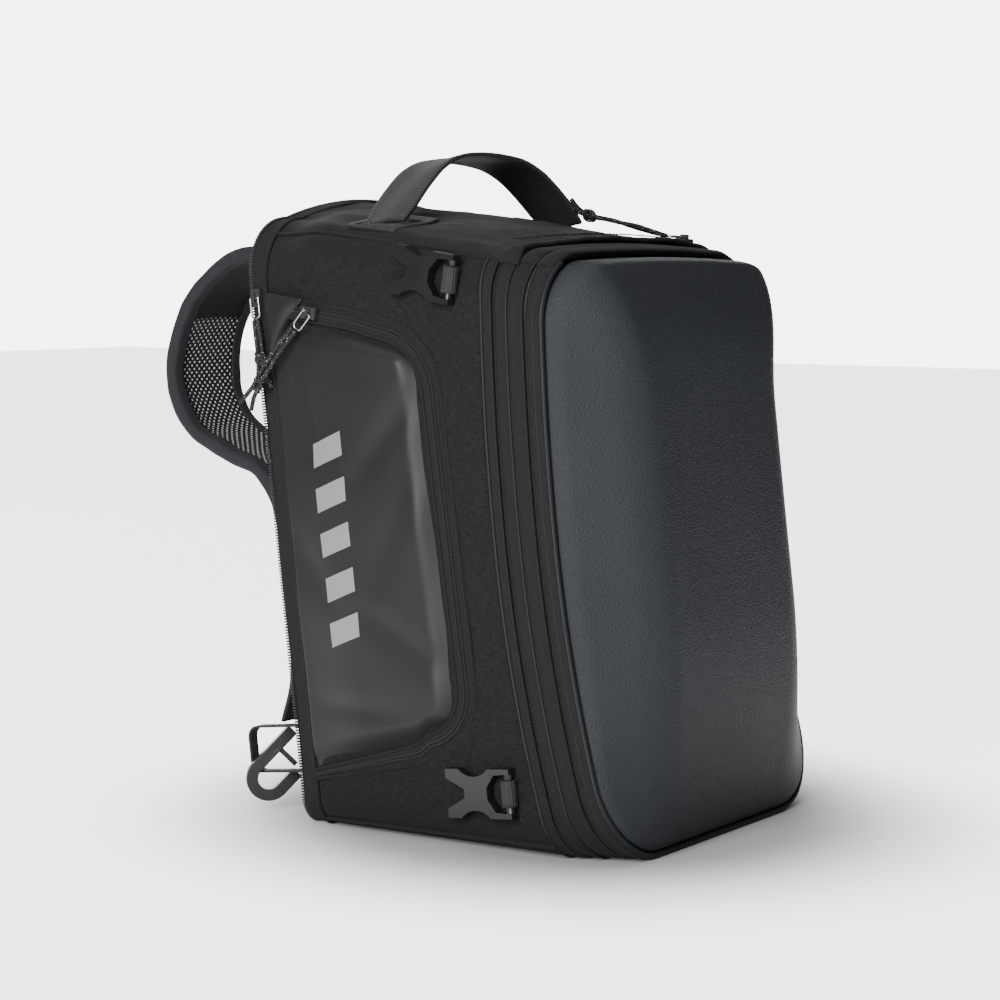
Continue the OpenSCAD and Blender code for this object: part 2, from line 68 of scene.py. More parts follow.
def paint(name, colour, roughness, metallic=0.0, specular=0.5, sheen=0.0):
    """A new material with its shader's plain values set, its node tree and its shader."""
    material = bpy.data.materials.new(name)
    material.use_nodes = True
    shader = material.node_tree.nodes["Principled BSDF"]
    shader.inputs["Base Color"].default_value = (*colour, 1.0)
    shader.inputs["Roughness"].default_value = roughness
    shader.inputs["Metallic"].default_value = metallic
    shader.inputs["Specular IOR Level"].default_value = specular
    shader.inputs["Sheen Weight"].default_value = sheen
    return material, material.node_tree, shader


def node_in(tree, kind, *feeds, **values):
    """A new shader node. The feeds fill its sockets in order and capitalised values fill them by name, each
    a plain value, a node or a node's output. Values in small letters are the node's own settings."""
    node = tree.nodes.new("ShaderNode" + kind)
    named = {name: value for name, value in values.items() if not name.islower()}
    for name in values.keys() - named.keys():
        setattr(node, name, values[name])
    filled = [(node.inputs[name.replace("_", " ")], value) for name, value in named.items()]
    for socket, value in [*zip(node.inputs, feeds), *filled]:
        if isinstance(value, bpy.types.Node):
            value = value.outputs[0]
        if isinstance(value, bpy.types.NodeSocket):
            tree.links.new(value, socket)
        else:
            socket.default_value = value
    return node


def soft_step(tree, feed, start, end, low, high):
    return node_in(tree, "MapRange", feed, From_Min=start, From_Max=end, To_Min=low, To_Max=high,
                   interpolation_type="SMOOTHSTEP")


def towards(tree, spot, direction):
    return node_in(tree, "VectorMath", spot, direction, operation="DOT_PRODUCT").outputs["Value"]


deselect()
bpy.ops.mesh.primitive_plane_add(size=FLOOR_SIZE, location=(0, 0, 0))
floor = bpy.context.object
floor.name = "floor"
# The floor's emission is painted light: none round the bag's footprint, which is a painted shadow, and a white
# glow further out in a strip along the camera's line of sight.
floor_paint, floor_tree, floor_shader = paint("floor_with_painted_glow", (0.30, 0.30, 0.30), 0.9, specular=0.03)
spot = node_in(floor_tree, "TexCoord").outputs["Object"]
footprint = node_in(floor_tree, "VectorMath", spot, (7.0, 6.6, 0.0), (0.0, 0.40, 0.0), operation="MULTIPLY_ADD")
away = node_in(floor_tree, "VectorMath", footprint, operation="LENGTH").outputs["Value"]
glow = soft_step(floor_tree, away, 1.0, 2.4, 0.0, 3.2)
width = node_in(floor_tree, "Math", towards(floor_tree, spot, (0.574, -0.819, 0)), operation="ABSOLUTE")
over = node_in(floor_tree, "Math", towards(floor_tree, spot, (0.819, 0.574, 0)), -0.21, width,
               operation="MULTIPLY_ADD")
strip = soft_step(floor_tree, over, 0.80, 1.10, 1.0, 0.0)
both = node_in(floor_tree, "Math", glow, strip, operation="MULTIPLY")
floor_tree.links.new(both.outputs[0], floor_shader.inputs["Emission Strength"])
floor_shader.inputs["Emission Color"].default_value = WHITE
floor.data.materials.append(floor_paint)

world = bpy.data.worlds.new("white_room")
world.use_nodes = True
room = world.node_tree
heading = node_in(room, "TexCoord").outputs["Generated"]
wall = soft_step(room, towards(room, heading, (0.815, 0.571, -0.094)), 0.86, 0.97, 0.13, 6.0)
room.nodes["Background"].inputs["Color"].default_value = WHITE
room.links.new(wall.outputs[0], room.nodes["Background"].inputs["Strength"])
bpy.context.scene.world = world


# The light: a large softbox far round to the left that rakes the lid's near facet and leaves its face
# dark, one overhead, and a weak one behind for the straps.
def softbox(name, place, aim, size, power):
    deselect()
    bpy.ops.object.light_add(type="AREA", location=place)
    lamp = bpy.context.object
    lamp.name = name
    lamp.data.shape = "SQUARE"
    lamp.data.size = size
    lamp.data.energy = power
    lamp.rotation_euler = (Vector(aim) - Vector(place)).to_track_quat("-Z", "Y").to_euler()
    return lamp


softbox("left_softbox", (-2.2, -0.55, 1.0), (0, 0, 0.2), 1.3, 150)
softbox("overhead_softbox", (-0.2, 0.1, 2.6), (0, 0, 0.1), 2.4, 50)
softbox("back_softbox", (0.9, 2.2, 1.2), (0, 0, 0.2), 1.4, 25)


# The camera: a long lens a little above the bag's middle, looking at its left side and its lid.
CAMERA_TURN = math.radians(-55)
CAMERA_RISE = math.radians(5.4)
CAMERA_DISTANCE = 1.75
LENS = 90
AIM = Vector((0, -0.0044, 0.2143))

deselect()
bpy.ops.object.camera_add()
camera = bpy.context.object
camera.data.lens = LENS
camera.data.sensor_width = 36
outwards = Vector((math.sin(CAMERA_TURN) * math.cos(CAMERA_RISE),
                   -math.cos(CAMERA_TURN) * math.cos(CAMERA_RISE), math.sin(CAMERA_RISE)))
camera.location = AIM + outwards * CAMERA_DISTANCE
camera.rotation_euler = (-outwards).to_track_quat("-Z", "Y").to_euler()
bpy.context.scene.camera = camera


# The pull cords: a doubled length of 3 mm braided cord with pale reflective flecks through each wire
# pull, tied in an overhand knot with two free tails. They are made first, because their room is limited.
CORD_D = 0.003
back_face = next(m for m in frame["record"]["mounts"] if m["name"] == "back_face")
LEAN = math.atan2(-back_face["axis"][2], back_face["axis"][1])
BACK_FACE_AT = (0.062, 0.25)  # y and z of the back face's mount in the upright bag
STAND_Y = back_face["pos_m"][1] - BACK_FACE_AT[0] * math.cos(LEAN) - BACK_FACE_AT[1] * math.sin(LEAN)
STAND = Matrix.Translation((0, STAND_Y, 0)) @ Matrix.Rotation(-LEAN, 4, "X")
MM = 0.001


def bumpy(tree, shader, height, strength, distance, invert=False):
    """Raises a material's surface by a pattern, up to distance metres."""
    bump = node_in(tree, "Bump", Height=height, Strength=strength, Distance=distance, invert=invert)
    tree.links.new(bump.outputs[0], shader.inputs["Normal"])


def spotted(tree, shader, pattern, *stops):
    """Colours a material by a pattern, through stops of position and colour."""
    pick = node_in(tree, "ValToRGB", pattern)
    for element, (position, colour) in zip(pick.color_ramp.elements, stops):
        element.position, element.color = position, (*colour, 1)
    tree.links.new(pick.outputs[0], shader.inputs["Base Color"])


def braid_paint():
    dark, pale = (0.008, 0.008, 0.009), (0.42, 0.42, 0.42)
    material, tree, shader = paint("pull_cord_braid", dark, 0.75, specular=0.2)
    place = node_in(tree, "TexCoord").outputs["Object"]
    spotted(tree, shader, node_in(tree, "TexVoronoi", Vector=place, Scale=620), (0.10, pale), (0.19, dark))
    bumpy(tree, shader, node_in(tree, "TexNoise", Vector=place, Scale=900), 0.6, 0.0004)
    return material


cord_braid = braid_paint()


def smooth_route(points, per_step=4):
    """Catmull-Rom points through a given route."""
    ends = [points[0] * 2 - points[1], *points, points[-1] * 2 - points[-2]]
    out = []
    for i in range(1, len(ends) - 2):
        a, b, c, d = ends[i - 1:i + 3]
        for k in range(per_step):
            t = k / per_step
            out.append(0.5 * (2 * b + (c - a) * t + (2 * a - 5 * b + 4 * c - d) * t * t
                              + (3 * b - a - 3 * c + d) * t * t * t))
    return out + [points[-1]]


def round_cord(name, points, radius):
    """A curve with a round section through a line of points."""
    line = bpy.data.curves.new(name, "CURVE")
    line.dimensions = "3D"
    line.bevel_depth = radius
    line.bevel_resolution = 3
    line.use_fill_caps = True
    spline = line.splines.new("POLY")
    spline.points.add(len(points) - 1)
    for spot, p in zip(spline.points, points):
        spot.co = (*p, 1)
    made = bpy.data.objects.new(name, line)
    bpy.context.scene.collection.objects.link(made)
    return made


def cord_leg(name, route, body):
    """One leg of a pull cord, from the wire pull through the knot to its tail."""
    points = smooth_route([STAND @ Vector([c * MM for c in p]) for p in route])
    leg = round_cord(name, points, CORD_D / 2)
    leg.data.materials.append(cord_braid)
    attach(leg, body)
    return leg, points, sum((b - a).length for a, b in zip(points, points[1:]))


KNOT_TURNS = [(-0.0022, 0.5, 0.0029), (0.0, -0.6, 0.0034), (0.0022, 0.4, 0.0028)]


def overhand_knot(name, centre, heading, body):
    """The knot: three fat turns of cord round the two legs."""
    deselect()
    parts = []
    for k, (shift, tilt, size) in enumerate(KNOT_TURNS):
        bpy.ops.mesh.primitive_torus_add(major_radius=size, minor_radius=CORD_D * 0.52,
                                         major_segments=20, minor_segments=10)
        turn = bpy.context.object
        spin = heading.to_track_quat("Z", "Y").to_matrix().to_4x4()
        turn.data.transform(Matrix.Translation(centre + heading * shift) @ spin
                            @ Matrix.Rotation(tilt, 4, "X") @ Matrix.Rotation(k * 1.1, 4, "Y"))
        parts.append(turn)
    deselect()
    for turn in parts:
        turn.select_set(True)
    bpy.context.view_layer.objects.active = parts[0]
    bpy.ops.object.join()
    knot = bpy.context.object
    knot.name = name
    bpy.ops.object.shade_smooth()
    knot.data.materials.append(cord_braid)
    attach(knot, body)
    return knot


def pull_cord(node, body, route_a, route_b, knot_at):
    for tag, route in (("a", route_a), ("b", route_b)):
        cord_leg(node + "_leg_" + tag, route, body)
    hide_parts(node)
    a, b = (STAND @ Vector([c * MM for c in route[knot_at]]) for route in (route_a, route_b))
    before = STAND @ Vector([c * MM for c in route_a[knot_at - 1]])
    knot = overhand_knot(node + "_knot", (a + b) / 2, (a - before).normalized(), body)


POCKET_ROUTE = [(145.6, 22.3, 339.8), (146.5, 29, 334), (147.2, 38, 326), (147.6, 47, 317),
                (147.6, 55, 308), (147.6, 62, 300), (147.6, 66, 291)]
POCKET_ROUTE_B = [(145.6, 24.4, 342.2), (146.5, 31.5, 336.5), (147.2, 41, 328.5), (147.6, 51, 319),
                  (147.6, 59, 309.5), (147.6, 67, 303), (147.6, 75, 297)]
BACK_ROUTE = [(-140.3, 58.4, 351.2), (-140, 58, 343), (-139.5, 58, 334), (-139, 58, 325),
              (-139, 56.5, 315), (-139, 53.5, 305)]
BACK_ROUTE_B = [(-140.3, 61.6, 351.2), (-140, 61.8, 343), (-139.5, 62, 334), (-139, 62.3, 325),
                (-139, 64, 314), (-139, 66, 302)]
EXPANDER_ROUTE = [(78.6, -133.3, 385.2), (71, -127, 388.4), (61, -119, 393), (51, -111.5, 398),
                  (42, -105, 401), (33, -100, 404), (27, -97, 409), (23, -95, 415)]
EXPANDER_ROUTE_B = [(76.8, -136, 384.7), (68.5, -130.5, 388.4), (58, -124, 393), (48, -117, 396),
                    (39, -111, 399), (30, -106, 401), (22, -103, 404), (15, -101, 407)]
LID_ROUTE = [(140.3, -155.4, 315.5), (140, -154.5, 306), (140, -153.5, 296), (140, -152.5, 286),
             (140, -151, 276), (140, -149, 266)]
LID_ROUTE_B = [(140.3, -158.5, 315.1), (140, -158.2, 306), (140, -157.6, 296), (140, -157, 286),
               (140, -157.5, 276), (140, -159, 266)]


def flipped(route):
    return [(-x, y, z) for x, y, z in route]


pull_cord("pocket_cord_right", "pocket_pull_right", POCKET_ROUTE, POCKET_ROUTE_B, 4)
pull_cord("pocket_cord_left", "pocket_pull_left", flipped(POCKET_ROUTE), flipped(POCKET_ROUTE_B), 4)
pull_cord("back_cord", "back_pull", BACK_ROUTE, BACK_ROUTE_B, 3)
pull_cord("expander_cord", "expander_pull", EXPANDER_ROUTE, EXPANDER_ROUTE_B, 5)
pull_cord("lid_cord", "lid_pull", LID_ROUTE, LID_ROUTE_B, 3)


# The side panels: woven two-tone polyester over thin foam, one panel each side, sewn to the top and
# bottom panels along the corners. They bow out a little where the bag is soft.
HALF_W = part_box("side_panel_right")[1][0]
BACK_Y = 0.052
TOP_Z = 0.419
TOP_SLOPE = 0.22
PANEL_EDGE = -0.134
BORDER = -0.179
RIM_R, MID_R, BACK_R = 0.046, 0.030, 0.018
BACK_ROUND, FRONT_ROUND = 0.027, 0.010
CROWN_FRONT, CROWN_BACK = 0.002, 0.013
BOW = 0.020
BOW_MID, BOW_HALF = 0.185, 0.200


def ease(x):
    x = min(1.0, max(0.0, x))
    return x * x * (3 - 2 * x)


def bow_at(z):
    return max(0.0, BOW * (1 - (0.62 if z > BOW_MID else 1.0) * ((z - BOW_MID) / BOW_HALF) ** 2))


def top_at(y):
    return TOP_Z + (y - BACK_Y) * TOP_SLOPE


def corner_r(y):
    if y < PANEL_EDGE:
        return RIM_R + (MID_R - RIM_R) * (y - BORDER) / (PANEL_EDGE - BORDER)
    return MID_R + (BACK_R - MID_R) * (y - PANEL_EDGE) / (BACK_Y - PANEL_EDGE)


def outline(t, y, inset=0.0):
    """Point (x, z) and outward direction of the bag's cross-section at depth y. t runs once round from
    the middle of the base, up the left side (0.15 to 0.35), over the top (0.4 to 0.6) and down the right."""
    t %= 1.0
    mirrored = t > 0.5
    if mirrored:
        t = 1.0 - t
    r = corner_r(y) - inset
    r_high = r + BACK_ROUND * ease((y - 0.002) / (BACK_Y - 0.002))
    r += FRONT_ROUND * ease((PANEL_EDGE - y) / (PANEL_EDGE - BORDER))
    half = HALF_W - inset
    low = y * math.tan(LEAN) + inset
    high = top_at(y) - inset
    crown = CROWN_FRONT + (CROWN_BACK - CROWN_FRONT) * (y - BORDER) / (BACK_Y - BORDER)
    if t < 0.10:
        x, z, nx, nz = -(half - r) * t / 0.10, low, 0.0, -1.0
    elif t < 0.15:
        a = (t - 0.10) / 0.05 * math.pi / 2
        nx, nz = -math.sin(a), -math.cos(a)
        x, z = -(half - r) + r * nx, low + r + r * nz
    elif t < 0.35:
        x, z, nx, nz = -half, low + r + (high - low - r - r_high) * (t - 0.15) / 0.20, -1.0, 0.0
    elif t < 0.40:
        a = (t - 0.35) / 0.05 * math.pi / 2
        nx, nz = -math.cos(a), math.sin(a)
        x, z = -(half - r_high) + r_high * nx, high - r_high + r_high * nz
    else:
        u = 1.0 - (t - 0.40) / 0.10
        x = -(half - r_high) * u
        z = high + crown * (1 - u * u)
        nx, nz = 0.0, 1.0
    return (-x if mirrored else x), z, (-nx if mirrored else nx), nz


def skin(t, y, lift=0.0, bowed=1.0):
    """Point of the bag's skin, in the upright bag frame, lift metres outside the cloth."""
    x, z, nx, nz = outline(t, y)
    return Vector((x + nx * lift, y + bowed * bow_at(z), z + nz * lift))


def edit_whole(operator, **values):
    """Runs one edit-mode operator on the whole of the active piece."""
    bpy.ops.object.mode_set(mode="EDIT")
    bpy.ops.mesh.select_all(action="SELECT")
    operator(**values)
    bpy.ops.object.mode_set(mode="OBJECT")


MERGE = 0.00002


def drape(name, across, along, place, closed=False):
    """A cloth piece: a grid laid by place(u, v), with a UV map in metres of cloth."""
    deselect()
    bpy.ops.mesh.primitive_grid_add(x_subdivisions=across, y_subdivisions=along, size=1)
    piece = bpy.context.object
    piece.name = name
    spots = [(v.co.x + 0.5, v.co.y + 0.5) for v in piece.data.vertices]
    for vertex, (u, v) in zip(piece.data.vertices, spots):
        vertex.co = place(u, v)
    steps = [i / 24 for i in range(25)]
    long_u = sum((place(b, 0.5) - place(a, 0.5)).length for a, b in zip(steps, steps[1:]))
    long_v = sum((place(0.5, b) - place(0.5, a)).length for a, b in zip(steps, steps[1:]))
    for corner in piece.data.uv_layers.active.data:
        corner.uv = (corner.uv[0] * long_u, corner.uv[1] * long_v)
    if closed:
        edit_whole(bpy.ops.mesh.remove_doubles, threshold=MERGE)
    return piece


def use(piece):
    deselect()
    piece.select_set(True)
    bpy.context.view_layer.objects.active = piece


def thicken(piece, thickness, offset=-1.0):
    use(piece)
    wall = piece.modifiers.new("wall", "SOLIDIFY")
    wall.thickness = thickness
    wall.offset = offset
    wall.use_even_offset = False
    bpy.ops.object.modifier_apply(modifier="wall")


def smooth(piece):
    use(piece)
    bpy.ops.object.shade_smooth()


def face_out(piece):
    use(piece)
    edit_whole(bpy.ops.mesh.normals_make_consistent, inside=False)


def turn_out(piece, centre):
    """Turns a cloth grid's faces away from the middle of what it covers."""
    face = piece.data.polygons[len(piece.data.polygons) // 2]
    if face.normal.dot(face.center - Vector(centre)) < 0:
        use(piece)
        edit_whole(bpy.ops.mesh.flip_normals)


GROUND = 0.0003
BAG_MIDDLE = (0, -0.06, 0.2)


def settle(piece):
    """Presses whatever would sink into the ground flat on it."""
    for vertex in piece.data.vertices:
        vertex.co.z = max(vertex.co.z, GROUND)


def stand_up(piece, material):
    """Leans the finished piece back with the bag and gives it its material."""
    piece.data.transform(STAND)
    settle(piece)
    piece.data.materials.clear()
    piece.data.materials.append(material)


def fix_on(piece, body, slot, material, *nodes):
    """Stands the finished piece up and fixes it to its body."""
    stand_up(piece, material)
    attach(piece, body)
    if nodes:
        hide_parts(*nodes)
    return piece


def sew(name, across, along, place, thickness, body, slot, material, *nodes, centred=False, closed=False):
    """A whole cloth piece. Its thickness lies inside the grid, or half on each side of it when centred."""
    piece = drape(name, across, along, place, closed)
    if not centred:
        turn_out(piece, BAG_MIDDLE)
    thicken(piece, thickness, 0.0 if centred else -1.0)
    smooth(piece)
    return fix_on(piece, body, slot, material, *nodes)


def crumple(point, amount, size):
    """Soft unevenness of hand-sewn cloth, in metres."""
    return amount * noise.noise(point * (1.0 / size))


def shaded(tree, shader, pattern, dark, light):
    """Colours a material between two tones by a pattern."""
    tone = node_in(tree, "Mix", pattern, data_type="RGBA")
    tone.inputs[6].default_value, tone.inputs[7].default_value = (*dark, 1), (*light, 1)
    tree.links.new(tone.outputs[2], shader.inputs["Base Color"])


RIBS = 0.314  # a wave texture at this scale has one band a metre


def weave_waves(tree, place, scale):
    """Two sets of bands across each other, multiplied."""
    waves = [node_in(tree, "TexWave", Vector=place, Scale=scale, bands_direction=way).outputs["Fac"]
             for way in "XY"]
    return node_in(tree, "Math", *waves, operation="MULTIPLY")


def cloth_paint(name, warp, weft, pitch, heather=0.6, bump_height=0.0003, coords="UV"):
    """Plain weave of two thread colours, heathered along both thread directions."""
    material, tree, shader = paint(name, warp, 0.85, specular=0.08, sheen=0.02)
    place = node_in(tree, "TexCoord").outputs[coords]

    def grain(x, y, detail):
        stretched = node_in(tree, "Mapping", Vector=place, Scale=(x, y, x if coords == "Object" else 1.0))
        return node_in(tree, "TexNoise", Vector=stretched, Scale=1.0, Detail=detail)

    def reckon(kind, a, b):
        return node_in(tree, "Math", a, b, operation=kind)

    threads = reckon("ADD", grain(1 / pitch, 0.12 / pitch, 2), grain(0.12 / pitch, 1 / pitch, 2))
    contrast = reckon("MULTIPLY", reckon("SUBTRACT", threads, 1.0), 2.6 * heather)
    patches = reckon("MULTIPLY", grain(0.05 / pitch, 0.05 / pitch, 1), 0.16)
    shaded(tree, shader, reckon("ADD", contrast, reckon("ADD", patches, 0.42)), warp, weft)
    bumpy(tree, shader, reckon("ADD", weave_waves(tree, place, RIBS / pitch / 2), threads), 0.7, bump_height)
    return material


side_cloth = cloth_paint("woven_side_cloth", (0.0022, 0.0022, 0.0024), (0.0100, 0.0096, 0.0106), 0.0007)
SIDE_FROM, SIDE_TO = 0.125, 0.378


def side_place(t0, t1):
    def place(u, v):
        t = t0 + (t1 - t0) * u
        y = PANEL_EDGE + (BACK_Y - PANEL_EDGE) * v
        edge = min(ease(u / 0.03), ease((1 - u) / 0.03), ease(v / 0.03 + 0.3), ease((1 - v) / 0.03))
        lift = 0.0035 * math.sin(math.pi * u) * math.sin(math.pi * v) - 0.0014 * (1 - edge)
        point = skin(t, y, lift, 1 - v)
        return skin(t, y, lift + crumple(point, 0.0014, 0.05) * edge, 1 - v)
    return place


for side, t0, t1 in (("left", SIDE_FROM, SIDE_TO), ("right", 1 - SIDE_TO, 1 - SIDE_FROM)):
    sew("side_cloth_" + side, 90, 56, side_place(t0, t1), 0.0035, "root", "side_fabric", side_cloth,
        "side_panel_" + side)


# The top panel: finer plain cloth over foam, crowned between the two sides, with a loose fold along
# its front that covers the expansion zip. Two rows of stitching hold the fold.
TOP_FROM, TOP_TO = SIDE_TO - 0.004, 1 - SIDE_TO + 0.004
FOLD_EDGE = -0.1465

top_cloth = cloth_paint("top_cloth", (0.0045, 0.0044, 0.0052), (0.0110, 0.0106, 0.0125), 0.0006, heather=0.4)


def top_place(u, v):
    t = TOP_FROM + (TOP_TO - TOP_FROM) * u
    y = FOLD_EDGE + (BACK_Y - FOLD_EDGE) * v
    over = ease((PANEL_EDGE + 0.004 - y) / 0.012)
    dip = math.exp(-((y - PANEL_EDGE - 0.006) / 0.0035) ** 2)
    edge = min(ease(u / 0.06), ease((1 - u) / 0.06))
    lift = (0.0030 * over - 0.0016 * dip + 0.0018 * math.sin(math.pi * min(1, max(0, v * 1.2 - 0.2)))) * edge
    lift -= 0.0012 * (1 - edge)
    point = skin(t, y, lift, 0)
    return skin(t, y, lift + crumple(point, 0.0022, 0.045) * edge + crumple(point, 0.0009, 0.016) * edge, 0)


sew("top_cloth_panel", 90, 70, top_place, 0.0028, "root", "top_fabric", top_cloth, "top_panel")


def skin_line(y, t0, t1, lift, count=240, bowed=1.0):
    """A line round the skin at depth y, as pairs of point and outward direction."""
    line = []
    for i in range(count + 1):
        t = t0 + (t1 - t0) * i / count
        _, _, nx, nz = outline(t, y)
        line.append((skin(t, y, lift, bowed), Vector((nx, 0, nz)).normalized()))
    return line


def measure(points):
    """Distance along a line of points to each of them."""
    reached = [0.0]
    for a, b in zip(points, points[1:]):
        reached.append(reached[-1] + (b - a).length)
    return reached


def step_at(reached, far):
    """The step of a measured line that holds the distance far, and the fraction of it that is passed."""
    i = min(max(bisect.bisect(reached, far) - 1, 0), len(reached) - 2)
    return i, (far - reached[i]) / max(reached[i + 1] - reached[i], 1e-9)


def run_along(name, line, pitch, size, start=0.0):
    """One small bevelled shape repeated along a line of (point, outward) pairs: zip teeth or stitches."""
    reached = measure([p for p, _ in line])
    deselect()
    bpy.ops.mesh.primitive_cube_add(size=1)
    row = bpy.context.object
    row.name = name
    row.data.transform(Matrix.Diagonal((*size, 1)))
    edit_whole(bpy.ops.mesh.bevel, offset=min(size) * 0.28, segments=1)
    many = row.modifiers.new("row", "ARRAY")
    many.use_relative_offset = False
    many.use_constant_offset = True
    many.constant_offset_displace = (pitch, 0, 0)
    many.count = max(1, int((reached[-1] - start) / pitch))
    bpy.ops.object.modifier_apply(modifier="row")
    for vertex in row.data.vertices:
        i, k = step_at(reached, min(max(vertex.co.x + start + pitch / 2, 0), reached[-1]))
        (a, out_a), (b, out_b) = line[i], line[i + 1]
        ahead = (b - a).normalized()
        out = out_a.lerp(out_b, k).normalized()
        vertex.co = a.lerp(b, k) + out.cross(ahead) * vertex.co.y + out * vertex.co.z
    face_out(row)
    bpy.ops.object.shade_smooth_by_angle(angle=math.radians(50))
    return row


thread, _, _ = paint("dark_thread", (0.005, 0.005, 0.006), 0.6, specular=0.2)
for tag, y in (("a", PANEL_EDGE - 0.0005), ("b", PANEL_EDGE - 0.0045)):
    stitches = run_along("fold_stitch_" + tag, skin_line(y, 0.395, 0.605, 0.0036, bowed=0), 0.0036,
                         (0.0026, 0.0007, 0.0006))
    fix_on(stitches, "root", "top_fabric", thread)


# The bottom panel: the side cloth again, flat on the ground. It runs under both side panels' lower corners,
# where it is sewn to them.
def bottom_place(u, v):
    t = -SIDE_FROM - 0.002 + (2 * SIDE_FROM + 0.004) * u
    y = PANEL_EDGE + (BACK_Y - PANEL_EDGE) * v
    return skin(t, y, -0.0004, 0)


sew("bottom_cloth", 60, 30, bottom_place, 0.003, "root", "side_fabric", side_cloth, "bottom_panel")


# The corner seams: a soft piped ridge where each side panel is sewn to the top and to the bottom. It is
# the panels' own cloth turned over a thin cord.
def piping(name, line, radius, body, material):
    made = round_cord(name, [STAND @ p for p in line], radius)
    use(made)
    bpy.ops.object.convert(target="MESH")
    made = bpy.context.object
    settle(made)
    bpy.ops.object.shade_smooth()
    made.data.materials.clear()
    made.data.materials.append(material)
    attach(made, body)


for side, ts in (("left", (SIDE_TO, SIDE_FROM)), ("right", (1 - SIDE_TO, 1 - SIDE_FROM))):
    for place_name, t in zip(("top", "bottom"), ts):
        seam = [skin(t, PANEL_EDGE + (BACK_Y - PANEL_EDGE) * i / 40, 0.0002, 1 - i / 40) for i in range(41)]
        piping("seam_" + place_name + "_" + side, seam, 0.0012, "root", top_cloth)


# The two front zips: woven tapes with a nylon coil between them, one for the expansion and one for the
# lid. The expansion zip runs all round; the lid zip stops under the hinge strip at both top corners.
SLIT_1, SEAM, SLIT_2 = -0.143, -0.154, -0.167
TAPE_GAP = 0.0009
STRIP_FROM = 0.385

tape_cloth = cloth_paint("zip_tape_cloth", (0.0040, 0.0040, 0.0043), (0.0110, 0.0108, 0.0113), 0.0006,
                         heather=0.4, bump_height=0.0002)
coil, _, _ = paint("zip_coil", (0.009, 0.009, 0.0095), 0.5, specular=0.2)


def tape(name, y0, y1, t0, t1, body, *nodes, low0=0.0, low1=0.0, count=220, slot="zip_tape",
         material=tape_cloth, bulge=0.0, thick=0.0018):
    """A band round the bag between two depths, sunk by low0 and low1 at its edges."""
    def place(u, v):
        sunk = low0 * (1 - ease(v / 0.35)) + low1 * (1 - ease((1 - v) / 0.35))
        return skin(t0 + (t1 - t0) * u, y0 + (y1 - y0) * v, sunk + bulge * math.sin(math.pi * v))
    sew(name, count, 6, place, thick, body, slot, material, *nodes, closed=(t0, t1) == (0, 1))


def teeth(name, slit, side, t0, t1, body):
    line = skin_line(slit + side * 0.0014, t0, t1, 0.0001, count=420)
    row = run_along(name, line, 0.0014, (0.0008, 0.0014, 0.0007), start=0.0007 if side > 0 else 0.0)
    fix_on(row, body, "zip_tape", coil)


tape("expander_tape_back", SLIT_1 + TAPE_GAP, PANEL_EDGE + 0.001, 0, 1, "root", "expander_tape_body",
     low0=-0.0008, low1=-0.001)
tape("expander_tape_fore", SEAM, SLIT_1 - TAPE_GAP, 0, 1, "front", "expander_tape_front",
     low0=-0.0008, low1=-0.0008)
teeth("expander_teeth_back", SLIT_1, 1, 0.0, 1.0, "root")
teeth("expander_teeth_fore", SLIT_1, -1, 0.0, 1.0, "front")
tape("lid_tape_back", SLIT_2 + TAPE_GAP, SEAM, -STRIP_FROM, STRIP_FROM, "front", "lid_tape_body",
     low0=-0.0008, low1=-0.0008)
tape("lid_tape_fore", SLIT_2 - 0.006, SLIT_2 - TAPE_GAP, -STRIP_FROM, STRIP_FROM, "lid", "lid_tape",
     low1=-0.0008)
teeth("lid_teeth_back", SLIT_2, 1, -STRIP_FROM, STRIP_FROM, "front")
teeth("lid_teeth_fore", SLIT_2, -1, -STRIP_FROM, STRIP_FROM, "lid")
seam_line = [p for p, _ in skin_line(SEAM, 0, 1, 0.0004)]
piping("zip_seam", seam_line, 0.0007, "front", thread)
edge_line = [p for p, _ in skin_line(PANEL_EDGE - 0.0004, -SIDE_TO, SIDE_TO, 0.0)]
piping("panel_edge_seam", edge_line, 0.0010, "root", thread)


# The hinge strip: a band of the top cloth across the top front corner to corner. It is the lid's hinge,
# and its ends cap the lid zip.
BAND_FROM, BAND_TO = STRIP_FROM - 0.006, 1 - STRIP_FROM + 0.006
tape("hinge_band", SLIT_2 + 0.0002, SEAM, BAND_FROM, BAND_TO, "front", "hinge_strip",
     count=120, slot="top_fabric", material=top_cloth, bulge=0.0016)
tape("hinge_band_lid", BORDER - 0.0004, SLIT_2 - 0.0002, BAND_FROM, BAND_TO, "lid",
     count=120, slot="top_fabric", material=top_cloth, bulge=0.0020)


# The lid's rim: a bound edge of zip-tape cloth round a stiff cord. The moulded shell is sewn to it, and
# its lower run stands on the ground.
tape("lid_rim_band", BORDER, SLIT_2 - 0.006, 0, 1, "lid", "lid_rim", bulge=0.0008, thick=0.004)
rim_line = [p for p, _ in skin_line(BORDER + 0.0006, -STRIP_FROM, STRIP_FROM, -0.0022)]
piping("lid_rim_piping", rim_line, 0.0022, "lid", thread)


# The moulded shell: foam board pressed into a blunt dome and covered with pebble-grained leather cloth.
# Its flat face is narrower than its border, with long soft ridges down both sides.
SHELL_IN = 0.005
FACE_Y = -0.2068
BORDER_LOW = BORDER * math.tan(LEAN) + SHELL_IN
BORDER_HIGH = top_at(BORDER) - SHELL_IN
BORDER_HALF = HALF_W - SHELL_IN
BORDER_R = RIM_R - SHELL_IN
RIDGE_HALF = 0.088
RIDGE_ROUND = 0.0085
FACET_LEFT = 0.12
EDGE_ROUND = 0.006
HIGH_FROM, LOW_FROM = 0.290, 0.135


